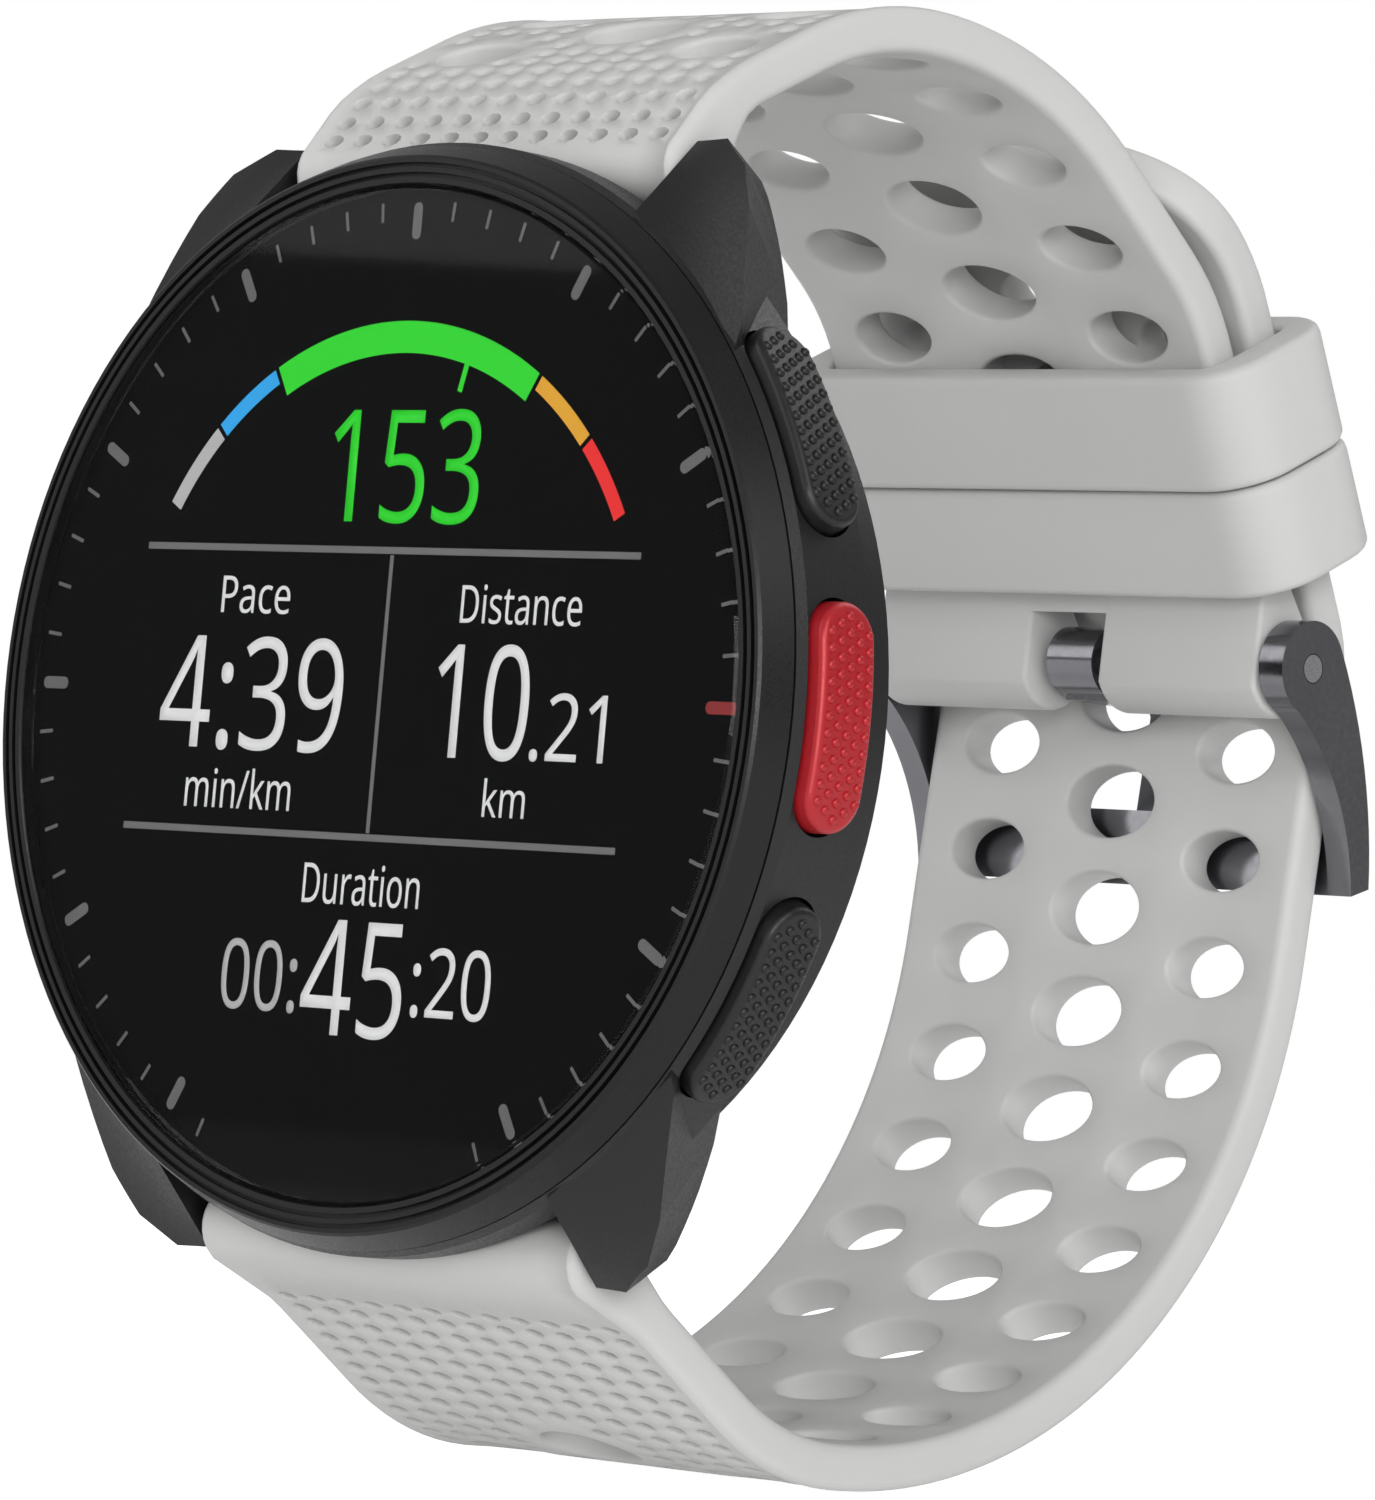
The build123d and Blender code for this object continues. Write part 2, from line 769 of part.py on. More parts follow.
with BuildPart() as sensor_leds:
    with BuildSketch(depth_plane(back_plane + stack_gap + sensor_board_thickness)):
        with PolarLocations(led_circle, 4, start_angle=45):
            Rectangle(led_size, led_size)
    extrude(amount=optics_height)
finish(sensor_leds, "sensor_leds")

with BuildPart() as photodiodes:
    with BuildSketch(depth_plane(back_plane + stack_gap + sensor_board_thickness)):
        with PolarLocations(diode_circle, 4):
            Rectangle(diode_size, diode_size)
    extrude(amount=optics_height)
finish(photodiodes, "photodiodes")

with BuildPart() as charge_contacts:
    with BuildSketch(depth_plane(back_plane + stack_gap, 0, contact_height)):
        with GridLocations(contact_pitch, 1, contact_count, 1):
            Circle(contact_radius)
    extrude(amount=cover_thickness + stack_gap - contact_recess)
finish(charge_contacts, "charge_contacts")

# ---------------------------------------------------------------- push buttons
cap_radius = case_radius + button_proud
groove_outer = cavity_radius + seal_seat
seal_groove = seal_thickness + 2 * seal_fit
for name, angle in buttons.items():
    with BuildPart() as button:
        with BuildSketch(radial_plane(angle, button_seat_radius)):
            SlotOverall(button_length, button_width)
        extrude(amount=button_thickness + 1)
        with BuildSketch(depth_plane(0)):
            Circle(cap_radius)
        extrude(amount=case_depth, mode=Mode.INTERSECT)
        rim = [edge for edge in button.edges() if hypot(edge.center().X, edge.center().Z) > case_radius]
        fillet(rim, button_fillet)
        with BuildSketch(radial_plane(angle, stem_end)):
            Circle(stem_radius)
        extrude(amount=button_seat_radius - stem_end + 0.3)
        with BuildSketch(radial_plane(angle, groove_outer - seal_groove)):
            Circle(2 * stem_radius)
            Circle(groove_radius, mode=Mode.SUBTRACT)
        extrude(amount=seal_groove, mode=Mode.SUBTRACT)
        with BuildSketch(radial_plane(angle, stem_end + clip_inset)):
            Circle(2 * stem_radius)
            Circle(groove_radius, mode=Mode.SUBTRACT)
        extrude(amount=clip_thickness + 2 * clip_fit, mode=Mode.SUBTRACT)
    finish(button, f"{name}_button")

    with BuildPart() as seal:
        with BuildSketch(radial_plane(angle, groove_outer - seal_groove + seal_fit)):
            Circle(seal_bore_radius - seal_fit)
            Circle(groove_radius + groove_fit, mode=Mode.SUBTRACT)
        extrude(amount=seal_thickness)
    finish(seal, f"{name}_button_seal")

    with BuildPart() as clip:
        with BuildSketch(radial_plane(angle, stem_end + clip_inset + clip_fit)):
            Circle(clip_radius)
            Circle(groove_radius + groove_fit, mode=Mode.SUBTRACT)
            with Locations((0, clip_radius / 2)):
                Rectangle(clip_opening, clip_radius, mode=Mode.SUBTRACT)
        extrude(amount=clip_thickness)
    finish(clip, f"{name}_button_clip")

# ---------------------------------------------------------------- strap halves
upper_line = strap_line(upper_points, upper_radii)
lower_line = strap_line(lower_points, lower_radii)

hole_room = upper_line.length - first_upper_hole - last_hole
upper_count = int(hole_room / upper_hole_pitch) + 1
upper_centres = [upper_line.length - last_hole - upper_hole_pitch * i for i in range(upper_count)]
upper_sides = [length - upper_hole_pitch / 2 for length in upper_centres]

# the buckle's tongue goes through the centre hole at this length along the lower half
tongue_hole = length_at_height(lower_line, tongue_hole_height)
holes_before = int((tongue_hole - first_lower_hole) / lower_hole_pitch)
holes_after = int((lower_line.length - tip_round - tongue_hole) / lower_hole_pitch)
lower_centres = [tongue_hole + lower_hole_pitch * i for i in range(-holes_before, holes_after + 1)]
lower_sides = [length + lower_hole_pitch / 2 for length in lower_centres[:-1]]

notch_width = tongue_width + 2 * notch_gap
with BuildPart() as upper_strap:
    add(strap_band(upper_line, 1))
    with BuildSketch(side_plane(-half_width)):
        with BuildLine():
            Polyline(*end_wedge(upper_line, strap_end_radius), close=True)
        make_face()
        with Locations(upper_start):
            Circle(strap_end_radius)
        with Locations((pin_depth, pin_height)):
            Circle(buckle_end_radius)
        with BuildLine():
            Polyline(
                on_run(0, buckle_end_radius),
                on_run(0, -buckle_end_radius),
                on_run(fixed_keeper_start - wedge_gap, upper_run_offset - half_thickness),
                on_run(fixed_keeper_start - wedge_gap, upper_run_offset + half_thickness),
                close=True,
            )
        make_face()
    extrude(amount=strap_width)
    add(release_slot(upper_start), mode=Mode.SUBTRACT)
    for planes, size in (
        (hole_planes(upper_line, upper_centres, [0]), centre_hole_size),
        (hole_planes(upper_line, upper_sides, [-side_hole_offset, side_hole_offset]), side_hole_size),
    ):
        with BuildSketch(*planes):
            SlotOverall(*size)
        extrude(amount=strap_thickness, both=True, mode=Mode.SUBTRACT)
    # bores for the spring bar and the buckle pin
    with BuildSketch(side_plane(-half_width)):
        with Locations(upper_start):
            Circle(strap_bore_radius)
        with Locations((pin_depth, pin_height)):
            Circle(pin_radius + pin_fit)
    extrude(amount=strap_width, mode=Mode.SUBTRACT)
    # notch that lets the tongue turn on the pin
    with BuildSketch(run_plane(-2 * buckle_end_radius)):
        with Locations((0, 1.5)):
            Rectangle(notch_width, 9)
    extrude(amount=2 * buckle_end_radius + notch_depth, mode=Mode.SUBTRACT)
finish(upper_strap, "upper_strap")

with BuildPart() as lower_strap:
    add(strap_band(lower_line, -1))
    with BuildSketch(side_plane(-half_width)):
        with BuildLine():
            Polyline(*end_wedge(lower_line, strap_end_radius), close=True)
        make_face()
        with Locations(lower_start):
            Circle(strap_end_radius)
    extrude(amount=strap_width)
    add(release_slot(lower_start), mode=Mode.SUBTRACT)
    for planes, size in (
        (hole_planes(lower_line, lower_centres, [0]), centre_hole_size),
        (hole_planes(lower_line, lower_sides, [-side_hole_offset, side_hole_offset]), side_hole_size),
    ):
        with BuildSketch(*planes):
            SlotOverall(*size)
        extrude(amount=strap_thickness, both=True, mode=Mode.SUBTRACT)
    with BuildSketch(side_plane(-half_width)):
        with Locations(lower_start):
            Circle(strap_bore_radius)
    extrude(amount=strap_width, mode=Mode.SUBTRACT)
    # the tail's rounded tip
    tip_plane = Plane(
        origin=place(0, *tail_tip), x_dir=(-1, 0, 0), z_dir=Vector(0, bend_back.Z, -bend_back.Y)
    )
    with BuildSketch(tip_plane):
        with Locations((0, -tip_round / 2)):
            Rectangle(1.2 * strap_width, tip_round + 2)
        with BuildLine():
            ThreePointArc((half_width, -tip_round), (0, 0), (-half_width, -tip_round))
            Line((-half_width, -tip_round), (half_width, -tip_round))
        make_face(mode=Mode.SUBTRACT)
        with Locations((0, -tip_round - 1)):
            Rectangle(strap_width + 1, 2, mode=Mode.SUBTRACT)
    extrude(amount=2 * strap_thickness, both=True, mode=Mode.SUBTRACT)
finish(lower_strap, "lower_strap")

# ---------------------------------------------------------------- spring bars and their release pins
for half, centre in (("upper", upper_start), ("lower", lower_start)):
    with BuildPart() as bar_tube:
        with BuildSketch(side_plane(-half_width)):
            with Locations(centre):
                Circle(bar_tube_radius)
        extrude(amount=strap_width)
        with BuildSketch(side_plane(-half_width + 1)):
            with Locations(centre):
                Circle(bar_bore_radius)
        extrude(amount=strap_width, mode=Mode.SUBTRACT)
        add(release_slot(centre), mode=Mode.SUBTRACT)
        # the fixed end's own pin
        with BuildSketch(side_plane(-lug_inner - bar_pin_reach)):
            with Locations(centre):
                Circle(bar_pin_radius)
        extrude(amount=lug_gap + bar_pin_reach)
    finish(bar_tube, f"{half}_bar_tube")

    with BuildPart() as release_pin:
        with BuildSketch(side_plane(lug_inner + bar_pin_reach - release_rod_length)):
            with Locations(centre):
                Circle(bar_pin_radius)
        extrude(amount=release_rod_length)
        with BuildSketch(depth_plane(centre[0], knob_offset, centre[1])):
            Circle(knob_radius)
        extrude(amount=strap_end_radius + knob_height)
    finish(release_pin, f"{half}_release_pin")

# ---------------------------------------------------------------- buckle
arm_inner = half_width + arm_gap
plate_face = half_thickness + plate_gap
with BuildPart() as buckle_pin:
    with BuildSketch(side_plane(-arm_inner - arm_thickness)):
        with Locations((pin_depth, pin_height)):
            Circle(pin_radius)
    extrude(amount=2 * (arm_inner + arm_thickness))
finish(buckle_pin, "buckle_pin")

with BuildPart() as buckle_frame:
    for x in (-arm_inner - arm_thickness, arm_inner):
        with BuildSketch(side_plane(x)):
            with Locations((pin_depth, pin_height)):
                Circle(arm_disc_radius)
            with BuildLine():
                ThreePointArc(
                    on_line((pin_depth, pin_height), run_up, run_out, 0, arm_disc_radius),
                    on_wall(-4.6, half_thickness + 0.35),
                    on_wall(-plate_drop, plate_face + bar_plate_thickness),
                )
                Line(
                    on_wall(-plate_drop, plate_face + bar_plate_thickness),
                    on_wall(-plate_drop - 0.5, plate_face),
                )
                ThreePointArc(
                    on_wall(-plate_drop - 0.5, plate_face),
                    on_wall(-4.2, half_thickness - 2.2),
                    on_line((pin_depth, pin_height), run_up, run_out, -1.2, -1.6),
                )
                Line(
                    on_line((pin_depth, pin_height), run_up, run_out, -1.2, -1.6),
                    on_line((pin_depth, pin_height), run_up, run_out, 0, arm_disc_radius),
                )
            make_face()
        extrude(amount=arm_thickness)
    with BuildSketch(side_plane(-arm_inner)):
        with BuildLine():
            Polyline(
                on_wall(-plate_drop - 0.5, plate_face),
                on_wall(-plate_drop + bar_plate_height, plate_face),
                on_wall(-plate_drop + bar_plate_height - 0.6, plate_face + bar_plate_thickness),
                on_wall(-plate_drop, plate_face + bar_plate_thickness),
                close=True,
            )
        make_face()
    extrude(amount=2 * arm_inner)
    with BuildSketch(side_plane(-arm_inner - arm_thickness)):
        with Locations((pin_depth, pin_height)):
            Circle(pin_radius + pin_fit)
    extrude(amount=2 * (arm_inner + arm_thickness), mode=Mode.SUBTRACT)
finish(buckle_frame, "buckle_frame")

tongue_rest = plate_face + bar_plate_thickness + tongue_gap
tongue_line = [
    (pin_depth, tongue_hole_height),
    (on_wall(0, tongue_rest)[0] + tongue_thickness / 2, tongue_hole_height),
    on_wall(-plate_drop - 0.2, tongue_rest + tongue_thickness / 2),
]
with BuildPart() as buckle_tongue:
    with BuildSketch(side_plane(-tongue_width / 2)):
        with BuildLine() as tongue_path:
            FilletPolyline(*tongue_line, radius=tongue_bend)
        trace(tongue_path.wires()[0], line_width=tongue_thickness)
        with Locations((pin_depth, pin_height)):
            Circle(tongue_ring_radius)
            Circle(pin_radius + pin_fit, mode=Mode.SUBTRACT)
    extrude(amount=tongue_width)
finish(buckle_tongue, "buckle_tongue")

# ---------------------------------------------------------------- keepers
run_low = upper_run_offset - half_thickness
run_high = tail_run_offset + half_thickness
for name, start, length, low in (
    ("fixed_keeper", fixed_keeper_start, fixed_keeper_length, run_low),
    (
        "free_keeper",
        fixed_keeper_start + fixed_keeper_length + keeper_joint_gap,
        free_keeper_length,
        run_low - keeper_fit,
    ),
):
    high = run_high + keeper_fit
    with BuildPart() as keeper:
        with BuildSketch(run_plane(start)):
            with Locations((0, (low + high) / 2)):
                RectangleRounded(
                    strap_width + 2 * (keeper_fit + keeper_side_wall),
                    high - low + 2 * keeper_wall,
                    keeper_corner,
                )
                RectangleRounded(
                    strap_width + 2 * keeper_fit, high - low, keeper_bore_corner, mode=Mode.SUBTRACT
                )
        extrude(amount=length)
        for end in (0, -1):
            rim = keeper.faces().sort_by(Axis(place(0, *on_run(0, 0)), run_up))[end].outer_wire()
            fillet(rim.edges(), keeper_fillet)
    finish(keeper, name)
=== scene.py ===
"""A GPS running watch, dressed for its studio picture: perforated strap, keepers, buttons and dial."""

import logging
from collections.abc import Sequence
from dataclasses import dataclass
from enum import Enum
from functools import cache
from math import cos, pi, radians, sin

import bmesh
import bpy
import numpy as np
from mathutils import Matrix, Vector
from mathutils.geometry import delaunay_2d_cdt

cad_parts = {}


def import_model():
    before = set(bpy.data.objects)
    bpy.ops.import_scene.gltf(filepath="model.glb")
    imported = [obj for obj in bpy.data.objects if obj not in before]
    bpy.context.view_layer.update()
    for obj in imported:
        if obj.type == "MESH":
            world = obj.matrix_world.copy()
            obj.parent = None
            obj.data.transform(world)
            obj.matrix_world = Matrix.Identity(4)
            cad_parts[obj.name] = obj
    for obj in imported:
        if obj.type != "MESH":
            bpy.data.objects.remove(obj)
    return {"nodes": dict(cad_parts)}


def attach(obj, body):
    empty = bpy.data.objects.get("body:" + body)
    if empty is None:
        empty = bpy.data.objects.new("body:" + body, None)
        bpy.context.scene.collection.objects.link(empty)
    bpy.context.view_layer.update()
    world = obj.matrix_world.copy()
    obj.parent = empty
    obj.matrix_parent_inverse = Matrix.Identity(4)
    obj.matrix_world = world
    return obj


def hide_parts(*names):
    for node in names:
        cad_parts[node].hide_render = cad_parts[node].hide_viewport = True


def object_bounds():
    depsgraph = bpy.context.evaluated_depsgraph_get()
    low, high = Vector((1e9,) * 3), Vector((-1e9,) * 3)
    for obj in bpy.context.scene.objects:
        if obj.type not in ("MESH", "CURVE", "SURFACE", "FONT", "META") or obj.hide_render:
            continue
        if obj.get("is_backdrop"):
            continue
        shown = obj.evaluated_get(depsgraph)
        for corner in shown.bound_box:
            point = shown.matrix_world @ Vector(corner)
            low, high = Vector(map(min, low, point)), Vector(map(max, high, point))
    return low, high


MM = 0.001
WRIST_DEPTH = 28.0  # the loop's middle lies this far behind the glass's front face, in mm
CUT_TOLERANCE = 1e-5  # outline points nearer to each other than this are taken as one
FLOOR_GAP = 0.0002  # the floor lies this far under the lowest point, in metres
log = logging.getLogger("watch")


class Body(str, Enum):
    """The rigid bodies that the pieces ride on."""

    WATCH = "watch"
    FREE_KEEPER = "free_keeper"
    OK = "ok_button"
    UP = "up_button"
    DOWN = "down_button"
    LIGHT = "light_button"
    BACK = "back_button"


class Slot(str, Enum):
    """Names of material slots."""

    STRAP = "strap_silicone"
    RED_CAP = "red_anodised"
    BLACK_CAP = "button_black"
    DISPLAY = "display_black"


# ---------------- materials


def linear(hex_colour: str) -> tuple[float, float, float, float]:
    """Turns an sRGB hex colour into linear light.

    Args:
        hex_colour: six hex digits, such as "c4c4c2".

    Returns:
        Red, green, blue and an alpha of one.
    """
    channels = [int(hex_colour[i : i + 2], 16) / 255 for i in (0, 2, 4)]
    lit = [c / 12.92 if c <= 0.04045 else ((c + 0.055) / 1.055) ** 2.4 for c in channels]
    return (lit[0], lit[1], lit[2], 1.0)


def add_node(
    tree: bpy.types.NodeTree, kind: str, settings: dict | None = None, links: dict | None = None
) -> bpy.types.Node:
    """Adds one node with its settings and its incoming links.

    Args:
        tree: the material's node tree.
        kind: the node's type name.
        settings: attribute names or socket names and their values.
        links: socket names and the output sockets that feed them.

    Returns:
        The new node.
    """
    node = tree.nodes.new(kind)
    for key, value in (settings or {}).items():
        if isinstance(key, str) and hasattr(node, key):
            setattr(node, key, value)
        else:
            node.inputs[key].default_value = value
    for key, output in (links or {}).items():
        tree.links.new(output, node.inputs[key])
    return node


@dataclass(frozen=True)
class Finish:
    """One finish: two close tints mottled over each other, a surface grain and an optional fine bump.

    Sizes are real ones in millimetres.
    """

    name: str
    light: str
    dark: str
    roughness: float
    roughness_swing: float = 0.06
    metallic: float = 0.0
    ior: float = 1.5
    mottle_mm: float = 6.0
    grain_mm: float = 0.25
    bump: float = 0.15
    bump_mm: float = 0.02
    coat: float = 0.0
    coat_roughness: float = 0.1
    transmission: float = 0.0
    glow: str = "ffffff"
    glow_strength: float = 0.0

    def make(self) -> bpy.types.Material:
        """Builds the node tree: two noises give the tint, the roughness and the bump.

        Returns:
            The material.
        """
        material = bpy.data.materials.new(self.name)
        material.use_nodes = True
        tree = material.node_tree
        tree.nodes.clear()
        place = add_node(tree, "ShaderNodeTexCoord").outputs["Object"]
        mottle, grain = (
            add_node(
                tree,
                "ShaderNodeTexNoise",
                {"Scale": 1 / (size * MM), "Detail": detail, "Roughness": rough},
                {"Vector": place},
            ).outputs["Fac"]
            for size, detail, rough in ((self.mottle_mm, 4.0, 0.6), (self.grain_mm, 2.0, 0.5))
        )
        tint = add_node(
            tree,
            "ShaderNodeMix",
            {"data_type": "RGBA", 6: linear(self.dark), 7: linear(self.light)},
            {"Factor": mottle},
        )
        span = {
            "From Min": 0.3,
            "From Max": 0.7,
            "To Min": max(self.roughness - self.roughness_swing, 0.02),
            "To Max": min(self.roughness + self.roughness_swing, 1.0),
        }
        roughness = add_node(tree, "ShaderNodeMapRange", span, {"Value": grain})
        links = {"Base Color": tint.outputs[2], "Roughness": roughness.outputs[0]}
        if self.bump:
            relief = {"Strength": self.bump, "Distance": self.bump_mm * MM}
            links["Normal"] = add_node(tree, "ShaderNodeBump", relief, {"Height": grain}).outputs[0]
        look = {
            "Metallic": self.metallic,
            "IOR": self.ior,
            "Coat Weight": self.coat,
            "Coat Roughness": self.coat_roughness,
            "Transmission Weight": self.transmission,
            "Emission Color": linear(self.glow),
            "Emission Strength": self.glow_strength,
        }
        shader = add_node(tree, "ShaderNodeBsdfPrincipled", look, links)
        add_node(tree, "ShaderNodeOutputMaterial", links={"Surface": shader.outputs["BSDF"]})
        return material


@cache
def paint(finish: Finish) -> bpy.types.Material:
    """The finish's material, made on first use."""
    return finish.make()


# silicone rubber, moulded: an even light grey with a soft broad sheen and a faint skin texture
STRAP_SILICONE = Finish(
    "silicone_light_grey", "c8c8c7", "c3c3c2", 0.5, 0.05, grain_mm=0.16, bump=0.12, ior=1.41, mottle_mm=9
)
# fibre-filled polymer, moulded with a spark-eroded grain: matte black with fine sparkle-free grit
CASE_POLYMER = Finish(
    "fibre_filled_polymer_black", "101011", "0d0d0e", 0.44, 0.08, grain_mm=0.14, bump=0.3, bump_mm=0.03
)
# stainless steel, turned and dark coated: satin rings that catch a soft highlight
BEZEL_STEEL = Finish(
    "dark_coated_steel_satin", "262627", "1f1f20", 0.33, 0.07, metallic=0.6, grain_mm=0.1, bump=0.1
)
# stainless steel, dark coated and polished: the buckle's mirror-like grey
BUCKLE_STEEL = Finish(
    "dark_coated_steel_polished", "88888c", "78787c", 0.16, 0.04, metallic=1.0, grain_mm=0.3, bump=0.04
)
# stainless steel, turned: the spring bars and pins
BAR_STEEL = Finish(
    "stainless_steel_turned", "b9b9bc", "a4a4a8", 0.28, 0.08, metallic=1.0, grain_mm=0.08, bump=0.1
)
# aluminium, anodised red over blasting: a saturated red with a satin sheen
RED_ALUMINIUM = Finish(
    "anodised_aluminium_red", "b4202a", "a3161e", 0.36, 0.06, metallic=0.2, grain_mm=0.12, bump=0.12
)
# aluminium, anodised black over blasting: a soft even black
BLACK_ALUMINIUM = Finish(
    "anodised_aluminium_black", "131314", "0f0f10", 0.42, 0.06, metallic=0.1, grain_mm=0.12, bump=0.12
)
# toughened glass, polished and coated against reflections: nearly unseen, so its IOR is the coating's
COVER_GLASS = Finish(
    "toughened_glass_clear", "ffffff", "fbfbfb", 0.02, 0.01, ior=1.2, transmission=1.0, bump=0.0
)
# toughened glass, polished over dark optical ink: a deep gloss with sharp reflections
SENSOR_GLASS = Finish("inked_glass_dark", "15151a", "0e0e12", 0.08, 0.03, coat=0.6, bump=0.0)
# display stack, bonded to the glass: a deep neutral black with no surface shine of its own
DISPLAY_BLACK = Finish("display_laminate_black", "0b0b0c", "09090a", 0.5, 0.04, bump=0.0, ior=1.1)
# glass-fibre laminate, solder masked: a glossy green
BOARD_LAMINATE = Finish("laminate_green", "1d5c3a", "17502f", 0.4, 0.06, coat=0.3)
# epoxy, moulded: the matte black of chip packages
CHIP_EPOXY = Finish("epoxy_black", "1c1c1e", "161618", 0.5, 0.08)
# steel sheet, tinned: a soft grey shine
TINNED_STEEL = Finish("tinned_steel", "b4b4b6", "9d9da0", 0.35, 0.1, metallic=1.0, grain_mm=0.1)
# tungsten alloy, sintered: a dense dull grey
SINTERED_TUNGSTEN = Finish("sintered_tungsten", "6a6a6e", "5a5a5e", 0.5, 0.1, metallic=1.0, grain_mm=0.1)
# aluminium foil pouch, heat sealed: bright, with fine creases
BATTERY_FOIL = Finish(
    "aluminium_foil_pouch", "c4c4c8", "b0b0b4", 0.3, 0.1, metallic=0.9, grain_mm=0.6, bump=0.3
)
# brass, stamped and gold plated: a clear warm shine
GOLD_PLATE = Finish("gold_plated_brass", "e0b765", "cda04e", 0.22, 0.06, metallic=1.0, grain_mm=0.1)
# nitrile rubber, moulded: a dull black
SEAL_RUBBER = Finish("nitrile_rubber_black", "1b1b1b", "141414", 0.6, 0.08)
# clear epoxy, cast over the light sources: a pale green gloss
LED_EPOXY = Finish("clear_epoxy_green", "b8e0a8", "a4d096", 0.2, 0.04, coat=0.5)
# silicon under a dark filter: a violet-black gloss
DIODE_SILICON = Finish("silicon_violet_black", "2a2438", "1f1a2c", 0.15, 0.04, coat=0.6)


def lit_ink(name: str, colour: str, strength: float) -> Finish:
    """A lit patch of the display.

    Args:
        name: the finish's name.
        colour: its sRGB hex colour.
        strength: how brightly it glows.

    Returns:
        The finish.
    """
    return Finish(
        name, colour, colour, 0.6, 0.02, bump=0.0, glow=colour, glow_strength=strength, mottle_mm=20
    )


INK_GREY = lit_ink("lit_text_grey", "c2c2c2", 0.55)
INK_DIM = lit_ink("lit_text_dim_grey", "9c9c9c", 0.5)
INK_GREEN = lit_ink("lit_green", "1cb41c", 0.6)
INK_BLUE = lit_ink("lit_blue", "1e8cc8", 0.55)
INK_AMBER = lit_ink("lit_amber", "c08a20", 0.55)
INK_RED = lit_ink("lit_red", "c81c1c", 0.55)
INK_LINE = lit_ink("lit_line_grey", "5c5c5c", 0.5)
INK_MARK = lit_ink("lit_mark_grey", "585858", 0.4)
INK_MARK_RED = lit_ink("lit_mark_red", "7a1c1c", 0.4)


# ---------------- meshes


def make_piece(
    name: str,
    points: np.ndarray,
    faces: Sequence[Sequence[int]],
    finish: Finish,
    body: Body,
    replaces: str = "",
    weld: bool = True,
    smooth_degrees: float = 40.0,
) -> bpy.types.Object:
    """Makes one piece from points in millimetres, parents it to its body and hides the CAD node it stands
    for.

    Args:
        name: the piece's name.
        points: an array of points in the row frame, in mm.
        faces: corner indices of each face.
        finish: its finish.
        body: the body it rides on.
        replaces: the CAD node it stands for, if any.
        weld: merges points that coincide and turns every face outwards.
        smooth_degrees: edges sharper than this stay sharp.

    Returns:
        The new object.
    """
    mesh = bpy.data.meshes.new(name)
    mesh.from_pydata((np.asarray(points, float) * MM).tolist(), [], [list(map(int, f)) for f in faces])
    if weld:
        work = bmesh.new()
        work.from_mesh(mesh)
        bmesh.ops.remove_doubles(work, verts=work.verts, dist=0.0008 * MM)
        bmesh.ops.dissolve_degenerate(work, edges=work.edges, dist=0.0005 * MM)
        bmesh.ops.recalc_face_normals(work, faces=work.faces)
        work.to_mesh(mesh)
        work.free()
    mesh.materials.append(paint(finish))
    mesh.polygons.foreach_set("use_smooth", np.ones(len(mesh.polygons), bool))
    mesh.set_sharp_from_angle(angle=radians(smooth_degrees))
    obj = bpy.data.objects.new(name, mesh)
    bpy.context.scene.collection.objects.link(obj)
    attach(obj, body.value)
    if replaces:
        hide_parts(replaces)
    log.info("%s: %d points, %d faces", name, len(mesh.vertices), len(mesh.polygons))
    return obj


def grid_faces(rows: int, columns: int, wrap: bool = False) -> np.ndarray:
    """Quads of a grid whose points run row by row.

    Args:
        rows: rows of points.
        columns: points in a row.
        wrap: joins each row's last point to its first.

    Returns:
        An array of four indices a face.
    """
    row = np.arange(rows - 1)[:, None] * columns
    column = np.arange(columns if wrap else columns - 1)[None, :]
    after = (column + 1) % columns
    corners = [row + column, row + after, row + columns + after, row + columns + column]
    return np.stack(corners, axis=-1).reshape(-1, 4)


class Patchwork:
    """Gathers grids and fans of points into one list of points and faces."""

    def __init__(self) -> None:
        """Starts empty."""
        self.points: list[np.ndarray] = []
        self.faces: list[list[int]] = []
        self.count = 0

    def add(self, points: np.ndarray, faces: Sequence[Sequence[int]]) -> None:
        """Adds points of any leading shape with faces that index them from nought."""
        flat = np.asarray(points, float).reshape(-1, 3)
        self.faces += [[int(i) + self.count for i in face] for face in faces]
        self.points.append(flat)
        self.count += len(flat)

    def add_grid(self, points: np.ndarray, wrap: bool = False) -> None:
        """Adds a rows by columns by 3 array as a grid of quads."""
        self.add(points, grid_faces(points.shape[0], points.shape[1], wrap))

    def add_cap(self, loop: np.ndarray) -> None:
        """Adds one face across a closed loop of points."""
        self.add(loop, [list(range(len(loop)))])

    def all_points(self) -> np.ndarray:
        """Every point in one array."""
        return np.concatenate(self.points)


def rounded_loop(half_width: float, half_height: float, corner: float, steps: int = 8) -> np.ndarray:
    """A rounded rectangle: four quarter circles of the corner's radius joined by straight sides.

    Args:
        half_width: half its width.
        half_height: half its height.
        corner: its corners' radius.
        steps: points in each corner.

    Returns:
        Points of the loop, two numbers each, anticlockwise.
    """
    corner = min(corner, half_width, half_height)
    middle = np.array([half_width - corner, half_height - corner])
    loops = []
    for quarter, side in enumerate(((1, 1), (-1, 1), (-1, -1), (1, -1))):
        angle = np.linspace(0, pi / 2, steps) + quarter * pi / 2
        loops.append(middle * side + corner * np.stack([np.cos(angle), np.sin(angle)], axis=-1))
    return np.concatenate(loops)


# ---------------- the strap's centrelines


